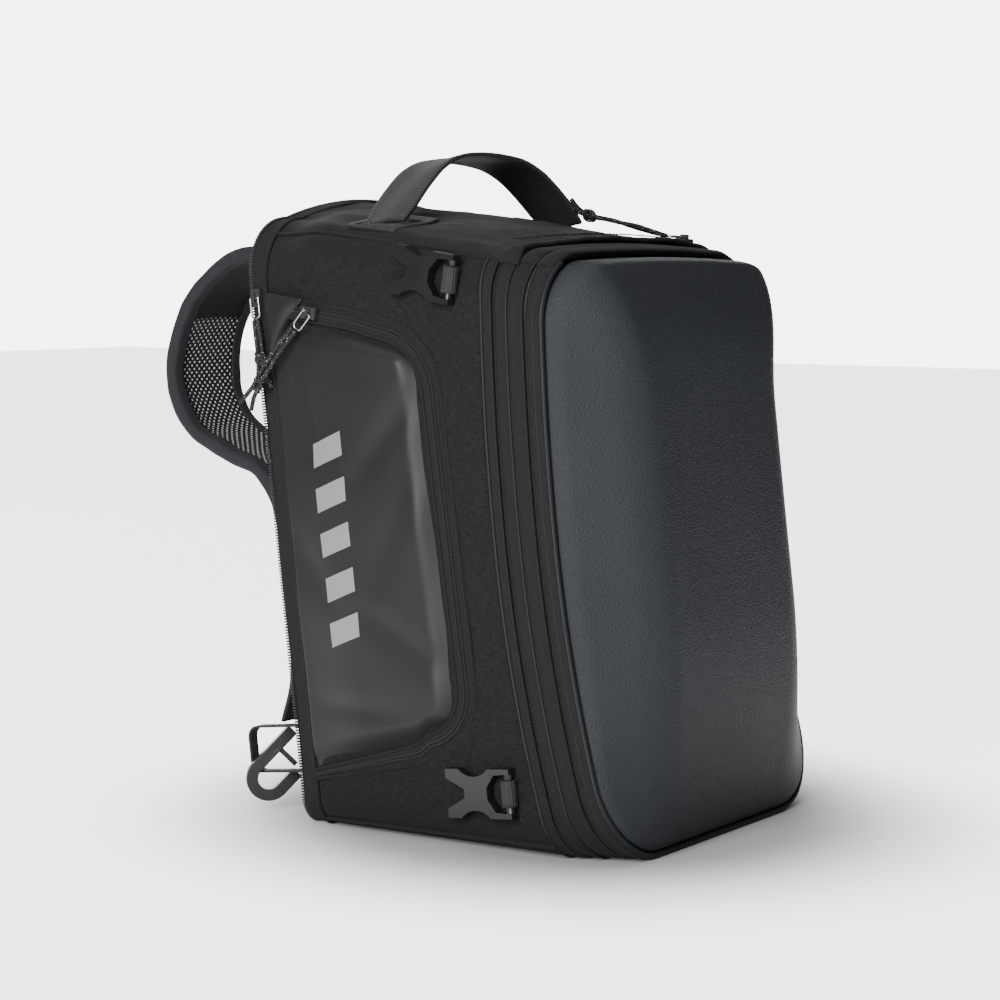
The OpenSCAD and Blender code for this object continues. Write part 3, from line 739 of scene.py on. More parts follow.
def leather_paint():
    material, tree, shader = paint("shell_leather", (0.016, 0.018, 0.020), 0.52, specular=0.07)
    place = node_in(tree, "TexCoord").outputs["Object"]
    pebble = node_in(tree, "TexVoronoi", Vector=place, Scale=1000, feature="SMOOTH_F1")
    crease = node_in(tree, "TexNoise", Vector=place, Scale=800, Detail=3)
    cloud = node_in(tree, "TexNoise", Vector=place, Scale=14)
    bumpy(tree, shader, node_in(tree, "Math", pebble, crease, operation="ADD"), 0.7, 0.0007)
    shaded(tree, shader, cloud, (0.0140, 0.0158, 0.0175), (0.0175, 0.0195, 0.0215))
    return material


def roll(far, power, left):
    """How much of its depth a rolled end keeps, from 1 down to left, at the fraction far of its height."""
    return left + (1 - left) * (1 - min(1.0, max(0.0, far)) ** power) ** 0.66


def ridge_half(z):
    return RIDGE_HALF + 0.022 * ease((z - 0.262) / 0.100) - 0.004 * ease((0.080 - z) / 0.080)


def shell_place(t, inset, back=0.0):
    """Point of the lid's dome at the fraction t round it, inset metres in from its border. Its flat face
    falls to the border in a long facet down each side and in a softer roll at the top and bottom."""
    r, r_low, half = max(BORDER_R - inset, 0.0), max(BORDER_R + FRONT_ROUND - inset, 0.0), BORDER_HALF - inset
    low, high = BORDER_LOW + inset, BORDER_HIGH - inset
    k = min(t % 1.0, 1.0 - t % 1.0)
    if k < 0.10:
        x, z = (half - r_low) * k / 0.10, low
    elif k < 0.15:
        a = (k - 0.10) / 0.05 * math.pi / 2
        x, z = half - r_low + r_low * math.sin(a), low + r_low - r_low * math.cos(a)
    elif k < 0.35:
        x, z = half, low + r_low + (high - low - r - r_low) * (k - 0.15) / 0.20
    elif k < 0.40:
        a = (k - 0.35) / 0.05 * math.pi / 2
        x, z = half - r + r * math.cos(a), high - r + r * math.sin(a)
    else:
        x, z = (half - r) * (0.50 - k) / 0.10, high
    wide = BORDER_HALF - ridge_half(z)
    slope = 1 - (1 - FACET_LEFT) * (x - ridge_half(z)) / wide
    turn = (1 - FACET_LEFT) * RIDGE_ROUND / wide * 2
    side = min(slope, 1.0) - max(turn - abs(slope - 1.0), 0.0) ** 2 / (4 * turn)
    fall = roll((z - HIGH_FROM) / (BORDER_HIGH - HIGH_FROM), 2.6, 0.42) * roll(
        (LOW_FROM - z) / (LOW_FROM - BORDER_LOW), 2.0, 0.06)
    edge = math.sqrt(max(0.0, 1 - (1 - min(1.0, inset / EDGE_ROUND)) ** 2))
    foot = BORDER + bow_at(z)
    crown = CROWN_FRONT * max(0.0, 1 - (x / (BORDER_HALF - BORDER_R)) ** 2) * ease((z - 0.300) / 0.060)
    return Vector((-x if t % 1.0 < 0.5 else x, foot + (FACE_Y - foot) * side * fall * edge + back, z + crown))


def dome(name, around, rings, thickness, slot, material, node, start=0.0, back=0.0):
    """The lid's dome as rings of cloth from its border in to the flat of its face, fixed on the lid."""
    deselect()
    bpy.ops.mesh.primitive_grid_add(x_subdivisions=around, y_subdivisions=rings, size=1)
    piece = bpy.context.object
    piece.name = name
    spots = [(v.co.x + 0.5, v.co.y + 0.5) for v in piece.data.vertices]
    for vertex, (u, v) in zip(piece.data.vertices, spots):
        vertex.co = shell_place(u, start + (BORDER_HALF - start) * v ** 1.7, back)
    edit_whole(bpy.ops.mesh.remove_doubles, threshold=MERGE)
    face_out(piece)
    turn_out(piece, (0, -0.15, 0.2))
    thicken(piece, thickness)
    smooth(piece)
    fix_on(piece, "lid", slot, material, node)


dome("leather_shell", 300, 60, 0.003, "shell_leather", leather_paint(), "lid_shell")


# The shell's lining: thin grey cloth glued inside the dome, seen when the lid is open. It follows the
# dome a few millimetres behind the leather.
lining_cloth = cloth_paint("lining_cloth", (0.05, 0.05, 0.054), (0.085, 0.085, 0.09), 0.0005, heather=0.3)
dome("lid_lining_cloth", 200, 30, 0.0008, "lining", lining_cloth, "lid_lining", 0.0044, 0.0042)


# The side pockets: smooth coated cloth with soft creases, one flat pouch on each side. The cloth is sewn
# into the back seam and held by the pocket zip everywhere else.
POCKET_X = 0.1352
POCKET_HEIGHT = 0.0082


def arc_points(cy, cz, r, a0, a1, n=10):
    turns = [math.radians(a0 + (a1 - a0) * i / n) for i in range(n + 1)]
    return [Vector((cy + r * math.cos(a), cz + r * math.sin(a))) for a in turns]


def pocket_edges(grow):
    """Bottom, front and top edge of a pocket as (y, z) lists from the back seam round and back to it."""
    low = arc_points(-0.046, 0.098, 0.030 + grow, 264, 180)
    high = arc_points(-0.034, 0.290, 0.038 + grow, 176, 106)
    below = [Vector((0.050, 0.046 - grow / 2)), Vector((-0.040, 0.062 - grow)), *low[:6]]
    front = [*low[5:], *high[:6]]
    above = [*high[5:], Vector((-0.016, 0.337 + grow)), Vector((0.050, 0.354 + grow))]
    return below, front, above


def along_edge(points, k):
    """Point at the fraction k of a line's length."""
    reached = measure(points)
    i, part = step_at(reached, k * reached[-1])
    return points[i].lerp(points[i + 1], part)


BELOW, FRONT, ABOVE = pocket_edges(0.0)
CREASES = [((-0.070, 0.292), (-0.012, 0.238), 0.0020, 0.010), ((-0.066, 0.250), (-0.020, 0.170), 0.0013, 0.012),
           ((0.034, 0.336), (0.020, 0.262), 0.0018, 0.009), ((-0.070, 0.110), (-0.010, 0.150), 0.0015, 0.010),
           ((0.040, 0.090), (-0.030, 0.084), 0.0012, 0.008), ((0.046, 0.200), (0.012, 0.150), 0.0010, 0.011)]


def pocket_rise(y, z, u, v):
    """Height of the pocket's cloth over its seam."""
    near = min((1 - u) * 0.13 / 0.020, v * 0.29 / 0.018, (1 - v) * 0.29 / 0.018)
    rise = POCKET_HEIGHT * ease(near) * (0.30 + 0.70 * ease((0.050 - y) / 0.055))
    spot = Vector((y, z))
    for a, b, depth, width in CREASES:
        a, b = Vector(a), Vector(b)
        k = min(1, max(0, (spot - a).dot(b - a) / (b - a).length_squared))
        gap = (spot - a.lerp(b, k)).length
        fade = 0.35 + 0.65 * math.sin(math.pi * (0.1 + 0.8 * k))
        rise -= depth * math.exp(-(gap / width) ** 2) * ease(near) * fade
    return max(0.0004, rise + crumple(Vector((y, z, 0.3)), 0.0016, 0.06) * ease(near))


def pocket_place(side):
    corners = BELOW[0], BELOW[-1], ABOVE[-1], ABOVE[0]

    def place(u, v):
        low, high = along_edge(BELOW, u), along_edge(ABOVE, 1 - u)
        back, fore = corners[0].lerp(corners[2], v), along_edge(FRONT, v)
        flat = (low * (1 - v) + high * v + back * (1 - u) + fore * u
                - (corners[0] * (1 - u) * (1 - v) + corners[1] * u * (1 - v) + corners[2] * (1 - u) * v
                   + corners[3] * u * v))
        return Vector((side * (POCKET_X + pocket_rise(flat.x, flat.y, u, v)), flat.x, flat.y))
    return place


def worn_paint(name, colour, roughness, specular, grain, rub, rub_detail, gloss, height):
    """A smooth finish with a fine grain, glossier in the patches where it is rubbed."""
    material, tree, shader = paint(name, colour, roughness, specular=specular)
    place = node_in(tree, "TexCoord").outputs["Object"]
    rubbed = node_in(tree, "TexNoise", Vector=place, Scale=rub, Detail=rub_detail)
    rough = node_in(tree, "MapRange", rubbed, To_Min=gloss[0], To_Max=gloss[1])
    tree.links.new(rough.outputs[0], shader.inputs["Roughness"])
    bumpy(tree, shader, node_in(tree, "TexNoise", Vector=place, Scale=grain), 0.25, height)
    return material


coated_cloth = worn_paint("coated_pocket_cloth", (0.0095, 0.0095, 0.0105), 0.42, 0.14, 1500, 22, 4,
                          (0.36, 0.52), 0.0002)
reflective, _, _ = paint("reflective_print", (0.13, 0.125, 0.12), 0.5, specular=0.4)
BAR_FEET = (0.128, 0.158, 0.188, 0.218, 0.248)
SIDES = (("left", -1), ("right", 1))

for side, sign in SIDES:
    sew("pocket_cloth_" + side, 70, 120, pocket_place(sign), 0.0012, "root", "coated_fabric", coated_cloth,
        "pocket_panel_" + side)

    for k, low in enumerate(BAR_FEET):
        def bar_place(u, v):
            y = 0.022 - 0.026 * u
            z = low + 0.007 * u + 0.016 * v
            rise = pocket_rise(y, z, (0.05 - y) / 0.13, (z - 0.055) / 0.29)
            return Vector((sign * (POCKET_X + 0.0002 + rise), y, z))
        bar = drape("reflective_bar_%d_%s" % (k + 1, side), 18, 12, bar_place)
        turn_out(bar, BAG_MIDDLE)
        thicken(bar, 0.0001)
        fix_on(bar, "root", "coated_fabric", reflective)


# The pocket zips: a curved band of zip tape from the back seam up over the front of each pocket, with its
# coil in the middle, a piped outer edge, and a welded triangle of coated cloth that parks the slider.
POCKET_BAND = 0.013
COIL_AT = 0.0065


def pocket_line(sign, grow, k, lift=0.0):
    """Point at the fraction k of a pocket's edge moved out by grow, on top of its zip band."""
    below, front, above = pocket_edges(grow)
    spot = along_edge([*below, *front[1:], *above[1:]], k)
    height = 0.0012 + 0.0030 * ease(1 - grow / POCKET_BAND) + 0.0006 * math.sin(math.pi * grow / POCKET_BAND)
    return Vector((sign * (POCKET_X + height + lift), spot.x, spot.y))


for side, sign in SIDES:
    def band_place(u, v):
        return pocket_line(sign, POCKET_BAND * u, v)
    sew("pocket_zip_band_" + side, 10, 160, band_place, 0.0014, "root", "zip_tape", tape_cloth,
        "pocket_zip_" + side)
    for tag, grow, start in (("in", COIL_AT - 0.0011, 0.0), ("out", COIL_AT + 0.0011, 0.00065)):
        line = [(pocket_line(sign, grow, i / 240, 0.0003), Vector((sign, 0, 0))) for i in range(241)]
        row = run_along("pocket_teeth_%s_%s" % (tag, side), line, 0.0013, (0.0008, 0.0017, 0.0011), start)
        fix_on(row, "root", "zip_tape", coil)
    for tag, grow, size in (("outer", POCKET_BAND, 0.0012), ("inner", 0.0004, 0.0010)):
        rim = [pocket_line(sign, grow, i / 120) for i in range(121)]
        piping("pocket_piping_%s_%s" % (tag, side), rim, size, "root", top_cloth)

    def garage_place(u, v):
        top_edge = Vector((0.0515, 0.369)).lerp(Vector((0.019, 0.3605)), u)
        low_edge = Vector((0.0515, 0.322)).lerp(Vector((0.030, 0.352)), u)
        spot = low_edge.lerp(top_edge, v)
        swell = 0.0030 * math.sin(math.pi * min(1, u * 1.1)) * math.sin(math.pi * v)
        return Vector((sign * (POCKET_X + 0.0042 + swell - 0.003 * (1 - ease(v / 0.2))), spot.x, spot.y))
    sew("zip_garage_" + side, 16, 20, garage_place, 0.0014, "root", "coated_fabric", coated_cloth)


# The back zip: the open half of the zip that closes the strap cover. Its tape stands off the back edge all
# round, and its bare coil shows in outline.
def back_tape_place(u, v):
    wave = 0.0008 * math.sin(u * 60) * v
    return skin(u, BACK_Y + 0.0128 * v, wave - 0.0003 * v, 0)


sew("back_zip_band", 260, 6, back_tape_place, 0.0018, "root", "zip_tape", tape_cloth, "back_zip_tape",
    closed=True)
back_coil = run_along("back_zip_teeth", skin_line(BACK_Y + 0.0132, 0, 1, -0.0006, count=420, bowed=0), 0.0019,
                      (0.0012, 0.0030, 0.0024))
fix_on(back_coil, "root", "zip_tape", coil)
back_seam = [p for p, _ in skin_line(BACK_Y, 0, 1, 0.0002, bowed=0)]
piping("back_edge_piping", back_seam, 0.0015, "root", top_cloth)


# The back panel: foam covered with black spacer mesh, with four raised pads and sewn channels between
# them. It lies against the rider's back, so the pads are blown up soft by a cloth simulation.
def mesh_paint(name, spacing, lit):
    """Spacer mesh: dark knit with a regular grid of lighter open cells along the cloth's own UV map, in the
    tone lit. On the straps that tone is painted backdrop light, as if seen through open holes.
    """
    dark = (0.006, 0.006, 0.0065)
    material, tree, shader = paint(name, dark, 0.8, specular=0.15, sheen=0.02)
    place = node_in(tree, "TexCoord").outputs["UV"]
    turned = node_in(tree, "Mapping", Vector=place, Rotation=(0, 0, math.radians(45)))
    cells = weave_waves(tree, turned, RIBS / spacing)
    spotted(tree, shader, cells, (0.52, dark), (0.66, (lit, lit, lit)))
    bumpy(tree, shader, cells, 0.8, 0.0006, invert=True)
    return material


def rounded_half(half, r, from_end):
    """Half the width of a panel with corners of radius r, from_end metres in from its end."""
    if from_end >= r:
        return half
    return half - r + math.sqrt(max(0.0, r * r - (r - from_end) ** 2))


back_mesh = mesh_paint("back_spacer_mesh", 0.0030, 0.035)
PAD_SPOTS = [(-0.060, 0.215, 0.098, 0.130), (0.060, 0.215, 0.098, 0.130),
             (-0.060, 0.330, 0.098, 0.076), (0.060, 0.330, 0.098, 0.076)]
CHANNEL_LOW, CHANNEL_HIGH = 0.140, 0.286


def back_place(u, v):
    low = BACK_Y * math.tan(LEAN) + 0.0035
    high = top_at(BACK_Y) - 0.004
    z = low + (high - low) * v
    from_end = min(z - low, high - z)
    half = rounded_half(HALF_W - 0.004, BACK_R if v < 0.5 else BACK_R + BACK_ROUND - 0.003, from_end)
    x = half * (2 * u - 1)
    crown = 0.008 * max(0.0, v - 0.97) / 0.03 * (1 - (2 * u - 1) ** 2)
    edge = min(ease((half - abs(x)) / 0.014), ease(from_end / 0.014))
    channel = 0.0020 * (math.exp(-(x / 0.005) ** 2) + math.exp(-((z - CHANNEL_LOW) / 0.004) ** 2)
                        + math.exp(-((z - CHANNEL_HIGH) / 0.004) ** 2))
    return Vector((x, BACK_Y + 0.0015 + 0.0080 * edge - channel * edge, z + crown))


back_foam = sew("back_foam_panel", 80, 110, back_place, 0.006, "root", "back_mesh", back_mesh, "back_panel")


def puff(piece, voxel, cap, pressure=4.0):
    """Blows a padded piece up as cloth, with every point kept within cap of where it started."""
    use(piece)
    piece.data.remesh_voxel_size = voxel
    bpy.ops.object.voxel_remesh()
    before = [v.co.copy() for v in piece.data.vertices]
    cloth = piece.modifiers.new("swell", "CLOTH")
    cloth.settings.use_pressure = True
    cloth.settings.uniform_pressure_force = pressure
    cloth.settings.effector_weights.gravity = 0
    cloth.settings.quality = 6
    scene = bpy.context.scene
    for frame_number in range(1, 21):
        scene.frame_set(frame_number)
    use(piece)
    bpy.ops.object.modifier_apply(modifier="swell")
    scene.frame_set(1)
    for vertex, start in zip(piece.data.vertices, before):
        moved = vertex.co - start
        if moved.length > cap:
            vertex.co = start + moved.normalized() * cap
    rounder = piece.modifiers.new("rounder", "SUBSURF")
    rounder.levels = rounder.render_levels = 1
    bpy.ops.object.modifier_apply(modifier="rounder")
    smooth(piece)


for k, (x, z, w, h) in enumerate(PAD_SPOTS):
    deselect()
    bpy.ops.mesh.primitive_cube_add(size=1, location=(0, 0, 0))
    pad = bpy.context.object
    pad.name = "back_pad_%d" % (k + 1)
    pad.data.transform(Matrix.Translation((x, BACK_Y + 0.0105, z))
                       @ Matrix.Diagonal((w - 0.01, 0.007, h - 0.01, 1)))
    edit_whole(bpy.ops.mesh.bevel, offset=0.003, segments=3)
    puff(pad, 0.0035, 0.004)
    pad_knit = cloth_paint("pad_knit_%d" % (k + 1), (0.010, 0.010, 0.011), (0.030, 0.030, 0.032), 0.0022,
                           coords="Object", bump_height=0.0006)
    fix_on(pad, "root", "back_mesh", pad_knit)


# The strap cover and its sleeve: a thin cloth cover folded flat in a cloth sleeve low on the back panel,
# with a turned hem along the sleeve's open top.
def sleeve_place(u, v):
    x = -0.094 + 0.188 * u
    z = 0.040 + 0.092 * v
    edge = min(ease(u / 0.06), ease((1 - u) / 0.06), ease(v / 0.10))
    return Vector((x, BACK_Y + 0.0105 + 0.0085 * edge + crumple(Vector((x, 0, z)), 0.0015, 0.03) * edge, z))


sleeve = sew("cover_sleeve_cloth", 60, 34, sleeve_place, 0.0012, "root", "lining", top_cloth, "cover_sleeve")
hem = [sleeve_place(i / 40, 1.0) for i in range(41)]
piping("sleeve_hem", hem, 0.0016, "root", top_cloth)


def folded_place(u, v):
    """Four flat folds of the cover, one over the other."""
    turn = v * 4
    fold = int(min(turn, 3.999))
    k = turn - fold
    if fold % 2:
        k = 1 - k
    x = -0.088 + 0.176 * u
    z = 0.046 + 0.078 * k + crumple(Vector((x, 0, 0)), 0.0015, 0.05)
    return Vector((x, BACK_Y + 0.0122 + 0.0012 * turn, z))


cover = sew("folded_strap_cover", 40, 120, folded_place, 0.0005, "root", "lining", top_cloth, "back_cover",
            centred=True)


# The shoulder straps: foam between black cloth and spacer mesh with white dots of painted backdrop light, as if
# seen through open holes, bound all round with tape.
# Each is sewn under the top edge of the back, loops out behind the bag and comes back to its adjuster.
STRAP_ROUTE = [(63, 396), (92, 399), (118, 392), (146, 373), (164, 345), (168, 312), (156, 285), (128, 266),
               (100, 250), (86, 230), (80, 206)]
STRAP_HALF = 0.035
STRAP_THICK = 0.0072
STRAP_X = 0.076


def side_route(points, per_step=6):
    return smooth_route([Vector((0, y * MM, z * MM)) for y, z in points], per_step)


def on_route(route, k):
    """Point and sideways normal at the fraction k of a side-view route."""
    reached = measure(route)
    i, part = step_at(reached, k * reached[-1])
    ahead = (route[min(i + 2, len(route) - 1)] - route[max(i - 1, 0)]).normalized()
    return route[i].lerp(route[i + 1], part), Vector((0, -ahead.z, ahead.y))


strap_line = side_route(STRAP_ROUTE)
# The strap mesh's pale cells are painted light: the white backdrop as if seen through open holes.
strap_mesh = mesh_paint("strap_spacer_mesh", 0.0037, 0.42)
binding_cloth = cloth_paint("binding_tape", (0.008, 0.008, 0.009), (0.018, 0.018, 0.020), 0.0009, heather=0.2)

for side_number, (side, sign) in enumerate(SIDES):
    def strap_place(u, v):
        spot, normal = on_route(strap_line, v)
        across = (2 * u - 1) * (STRAP_HALF - 0.002)
        dish = 0.0016 * math.cos(math.pi * (u - 0.5))
        ripple = crumple(Vector((across * 0.5, spot.y, spot.z)), 0.0022, 0.03)
        return Vector((sign * STRAP_X + across, 0, 0)) + spot + normal * (dish + ripple)

    core = drape("strap_foam_" + side, 24, 110, strap_place)
    thicken(core, STRAP_THICK, 0.0)
    smooth(core)
    face_out(core)
    fix_on(core, "root", "back_mesh", strap_mesh, "strap_" + side)

    for edge_side in (-1, 1):
        def binding_place(u, v):
            _, normal = on_route(strap_line, v)
            half = STRAP_THICK / 2 + 0.0008
            turn = (u - 0.5) * 2
            if abs(turn) > 0.45:
                out = -0.008 * (abs(turn) - 0.45) / 0.55
                height = half * (1 if turn > 0 else -1)
            else:
                a = turn / 0.45 * math.pi / 2
                out, height = 0.0022 * math.cos(a), half * math.sin(a)
            pucker = crumple(Vector((v * 9, edge_side, side_number)), 0.0007, 0.4)
            return (strap_place(0.5 + 0.5 * edge_side, v) + Vector((edge_side * out, 0, 0))
                    + normal * (height + (pucker if height > 0 else -pucker)))
        sew("strap_binding_%s_%s" % (side, "outer" if edge_side == sign else "inner"), 14, 150, binding_place,
            0.0007, "root", "webbing", binding_cloth, centred=True)

    for tag, lift, reach in (("under", -1, 0.34), ("over", 1, 1.0)):
        def facing_place(u, v):
            _, normal = on_route(strap_line, reach * v)
            return strap_place(u, reach * v) + normal * lift * (STRAP_THICK / 2 + 0.0004)
        sew("strap_cloth_%s_%s" % (tag, side), 20, 100, facing_place, 0.0005, "root", "back_mesh", top_cloth,
            centred=True)


# The straps' lower webbing: 25 mm ribbed tape from each adjuster down to the hook, with its tail turned
# back and sewn.
RIB_PITCH = 0.0016


def webbing_paint():
    material, tree, shader = paint("ribbed_webbing", (0.006, 0.006, 0.0065), 0.62, specular=0.2, sheen=0.02)
    place = node_in(tree, "TexCoord").outputs["UV"]
    rib = node_in(tree, "TexWave", Vector=place, Scale=RIBS / RIB_PITCH, bands_direction="Y").outputs["Fac"]
    grain = node_in(tree, "TexNoise", Vector=place, Scale=1700)
    both = node_in(tree, "Math", grain, 0.6, rib, operation="MULTIPLY_ADD")
    shaded(tree, shader, both, (0.004, 0.004, 0.0045), (0.014, 0.014, 0.015))
    bumpy(tree, shader, both, 0.8, 0.0004)
    return material


webbing = webbing_paint()
WEBBING_ROUTE = [(79, 196), (79, 181.6), (80, 150), (82, 124), (87, 98), (96, 75)]
webbing_line = side_route(WEBBING_ROUTE)

for side, sign in SIDES:
    def webbing_place(u, v):
        spot, normal = on_route(webbing_line, v)
        ripple = crumple(Vector((0, spot.z, 0)), 0.002, 0.05)
        return Vector((sign * 0.100 + (u - 0.5) * 0.025, 0, 0)) + spot + normal * ripple
    sew("lower_webbing_" + side, 8, 60, webbing_place, 0.0018, "root", "webbing", webbing,
        "strap_webbing_" + side, centred=True)


# The grab handle: one length of 38 mm webbing arched over the top, with its feet sewn to the top panel.
# A box-stitched patch at each end reaches the side seam.
HANDLE_Y = -0.031
HANDLE_WIDE = 0.019
HANDLE_TOP = 0.453
HANDLE_FOOT = 0.107
HANDLE_SIDE = [(107, 0), (103, 3), (92, 12), (76, 24), (58, 35), (38, 42), (18, 44.4), (0, 45)]
handle_line = smooth_route([Vector((x * MM, 0, z * MM)) for x, z in HANDLE_SIDE]
                           + [Vector((-x * MM, 0, z * MM)) for x, z in HANDLE_SIDE[-2::-1]], 6)
FOOT_Z = top_at(HANDLE_Y) + 0.0038 + 0.009 * (1 - (HANDLE_FOOT / 0.112) ** 2)
HANDLE_GROW = (HANDLE_TOP - 0.0015 - FOOT_Z) / 0.045


def handle_place(u, v):
    spot, _ = on_route(handle_line, v)
    wide = min(HANDLE_WIDE, 0.0165 + spot.z * 0.25)
    across = 2 * u - 1
    return Vector((spot.x, HANDLE_Y + across * wide,
                   FOOT_Z + spot.z * HANDLE_GROW + 0.0006 * math.sin(across * 3 + spot.x * 40)))


grip = drape("handle_webbing", 14, 90, handle_place)
thicken(grip, 0.0026, 0.0)
smooth(grip)
stand_up(grip, webbing)
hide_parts("handle")
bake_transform(grip)

PATCH_CORNERS = [(0.12, 0.08), (0.88, 0.08), (0.88, 0.72), (0.12, 0.72)]
for side, t0, t1 in (("left", 0.386, 0.442), ("right", 0.614, 0.558)):
    def patch_place(u, v):
        y = HANDLE_Y + 0.0185 * (2 * u - 1) * (1 - 0.25 * ease((v - 0.7) / 0.3))
        return skin(t0 + (t1 - t0) * v, y, 0.0034, 0)
    sew("handle_patch_" + side, 12, 24, patch_place, 0.0020, "root", "webbing", webbing)
    for k, (a, b) in enumerate(((0, 1), (1, 2), (2, 3), (3, 0), (0, 2), (1, 3))):
        (u0, v0), (u1, v1) = PATCH_CORNERS[a], PATCH_CORNERS[b]
        line = [(patch_place(u0 + (u1 - u0) * i / 12, v0 + (v1 - v0) * i / 12) + Vector((0, 0, 0.0001)),
                 Vector((0, 0, 1))) for i in range(13)]
        stitch = run_along("patch_stitch_%s_%d" % (side, k + 1), line, 0.0030, (0.0022, 0.0006, 0.0006))
        fix_on(stitch, "root", "webbing", thread)
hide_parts("handle_patches")


# The buckles: four female side-release buckle halves of satin black plastic, each hung on a webbing loop
# sewn to the side panel. Their moulded edges are eased.
def plastic_paint(name, colour, roughness):
    return worn_paint(name, colour, roughness, 0.32, 1800, 60, 2, (roughness - 0.06, roughness + 0.08), 0.0001)


satin_plastic = plastic_paint("satin_black_plastic", (0.0050, 0.0050, 0.0055), 0.32)


def finish_node(name, material, ease_edges=0.0, turns=2):
    """Gives a CAD node its material, and eased edges as a moulded part has."""
    node = frame["nodes"][name]
    node.data.materials.clear()
    node.data.materials.append(material)
    if ease_edges:
        join = node.modifiers.new("join", "WELD")
        join.merge_threshold = 0.00001
        rounding = node.modifiers.new("eased_edges", "BEVEL")
        rounding.limit_method = "ANGLE"
        rounding.angle_limit = math.radians(35)
        rounding.width = ease_edges
        rounding.segments = turns
        rounding.harden_normals = False


for level in ("upper", "lower"):
    for side in ("left", "right"):
        finish_node("buckle_%s_%s" % (level, side), satin_plastic, 0.0009)

BUCKLE_X = 0.1361
BAR_OUT = 0.004
BARS_AT = {"upper": (-0.104, 0.359, 16), "lower": (-0.110, 0.030, 1)}
for level, (bar_y, bar_z, turn) in BARS_AT.items():
    for side, sign in SIDES:
        def loop_place(u, v):
            reach = 0.0041
            profile = [Vector((0.0078, -reach)), Vector((0.003, -reach))]
            profile += [Vector((-reach * math.sin(a), -reach * math.cos(a)))
                        for a in [math.radians(d) for d in range(0, 181, 20)]]
            profile += [Vector((0.0036, 0.0030)), Vector((0.0056, 0.0)), Vector((0.0078, -0.0026))]
            spot = along_edge(profile, v)
            ly = (u - 0.5) * 0.017
            c, s = math.cos(math.radians(turn)), math.sin(math.radians(turn))
            return Vector((sign * (BUCKLE_X + BAR_OUT + spot.y), bar_y + spot.x * c - ly * s,
                           bar_z + spot.x * s + ly * c))
        sew("buckle_loop_%s_%s" % (level, side), 8, 60, loop_place, 0.0012, "root", "webbing",
                         webbing, centred=True)
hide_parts("buckle_loops")


# The strap hooks: moulded snap hooks with a sprung gate, each held at the lower back corner by a narrow
# webbing loop, and the ladder-lock adjusters above them. All are satin black plastic.
for side in ("left", "right"):
    finish_node("strap_hook_" + side, satin_plastic, 0.0022, 3)
    finish_node("hook_gate_" + side, satin_plastic, 0.0006)
    finish_node("strap_adjuster_" + side, satin_plastic, 0.0008)

for side, sign in SIDES:
    def hook_loop_place(u, v):
        r = 0.0076
        low, high, back, fore = 0.0418, 0.0732, 0.0655, 0.1222
        profile = [Vector((back, high)), Vector((fore - r, high))]
        profile += arc_points(fore - r, high - r, r, 90, 0, 6) + arc_points(fore - r, low + r, r, 0, -90, 6)
        profile += [Vector((back, low))]
        spot = along_edge(profile, v)
        return Vector((sign * 0.116 + (u - 0.5) * 0.008, spot.x, spot.y))
    sew("hook_loop_" + side, 6, 70, hook_loop_place, 0.0014, "root", "webbing", webbing,
                          centred=True)
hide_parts("hook_loops")


# The zip sliders and wire pulls: black painted die-cast sliders, each with a bright bent wire that holds
# its cord.
slider_paint = plastic_paint("black_slider_paint", (0.018, 0.018, 0.018), 0.3)
bright_wire, _, _ = paint("bright_wire", (0.30, 0.30, 0.31), 0.26, metallic=1.0)
for name in ("pocket_slider_left", "pocket_slider_right", "back_slider", "expander_slider", "lid_slider"):
    finish_node(name, slider_paint, 0.0005)
for name in ("pocket_pull_left", "pocket_pull_right", "back_pull", "expander_pull", "lid_pull"):
    finish_node(name, bright_wire)


# The inside: a grey cloth liner, a plastic stiffening sheet behind it, a base board and the hoop that
# keeps the mouth open.
def liner_place(u, v):
    y = PANEL_EDGE + (0.046 - PANEL_EDGE) * v
    point = skin(u, y, -0.0056, 1 - v)
    return skin(u, y, -0.0056 - 0.0006 * abs(crumple(point, 1.0, 0.04)), 1 - v)


liner_cloth = cloth_paint("grey_liner_cloth", (0.055, 0.055, 0.060), (0.09, 0.09, 0.095), 0.0006, heather=0.3)
sew("grey_liner", 120, 40, liner_place, 0.0006, "root", "lining", liner_cloth, "liner", centred=True,
    closed=True)


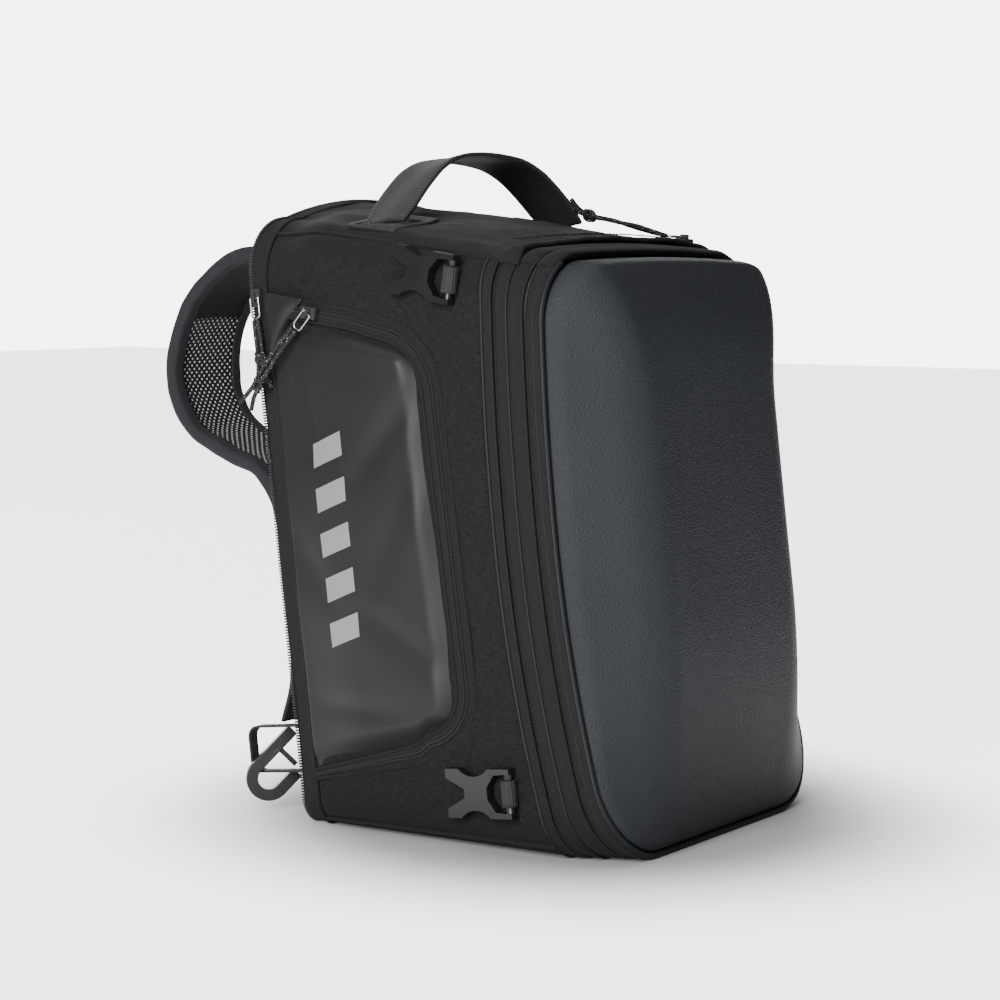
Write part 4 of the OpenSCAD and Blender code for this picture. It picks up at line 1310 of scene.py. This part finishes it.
def inner_sheet(depth, gap, lay, softness):
    """A sheet that fills the bag's outline at a depth, gap metres clear of it all round."""
    low, high = depth * math.tan(LEAN) + gap, top_at(depth) - gap

    def place(u, v):
        z = low + (high - low) * v
        half = rounded_half(HALF_W - gap, 0.014 if v < 0.5 else 0.040, min(z - low, high - z))
        x = half * (2 * u - 1)
        return Vector((x, lay + crumple(Vector((x, 0, z)), softness, 0.05), z))
    return place


pale_board = plastic_paint("stiffener_board", (0.35, 0.35, 0.33), 0.5)
dark_board = plastic_paint("dark_board", (0.03, 0.03, 0.03), 0.5)
sew("grey_liner_back", 50, 60, inner_sheet(0.046, 0.006, 0.0465, 0.0006), 0.0006, "root", "lining",
    liner_cloth, centred=True)
sew("stiffening_sheet", 30, 50, inner_sheet(0.048, 0.010, 0.0483, 0.0), 0.0010, "root", "board", pale_board,
    "frame_sheet", centred=True)
finish_node("bottom_board", dark_board, 0.0006)
finish_node("front_frame", dark_board)


# The expansion gusset: a pleat of dark cloth behind the expansion zip, which on the bag opens out when the
# front moves forward. It is sewn up from lengths along the bowed edge.
GUSSET_BACK, GUSSET_FRONT = PANEL_EDGE + 0.007, SEAM - 0.005
LENGTHS = [(-0.125, 0.125), (0.37, 0.63)]
for t0, t1 in ((0.125, 0.165), (0.165, 0.20), (0.20, 0.29), (0.29, 0.33), (0.33, 0.37)):
    LENGTHS += [(t0, t1), (1 - t1, 1 - t0)]

for number, (t0, t1) in enumerate(LENGTHS):
    def gusset_place(u, v):
        t = t0 - 0.0015 + (t1 - t0 + 0.003) * u
        y = GUSSET_BACK + (GUSSET_FRONT - GUSSET_BACK) * v
        return skin(t, y, -0.0042 - 0.0020 * math.sin(math.pi * v) - 0.00008 * number, 1.0)

    gusset = drape("expansion_gusset_%d" % (number + 1), max(12, int((t1 - t0) * 240)), 24, gusset_place)
    bows = [bow_at(skin(t0 + (t1 - t0) * i / 8, SEAM).z) for i in range(9)]
    thicken(gusset, 0.0005, 0.0)
    smooth(gusset)
    stand_up(gusset, top_cloth)
    if number == 0:
        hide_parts("expander_gusset")
    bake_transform(gusset)
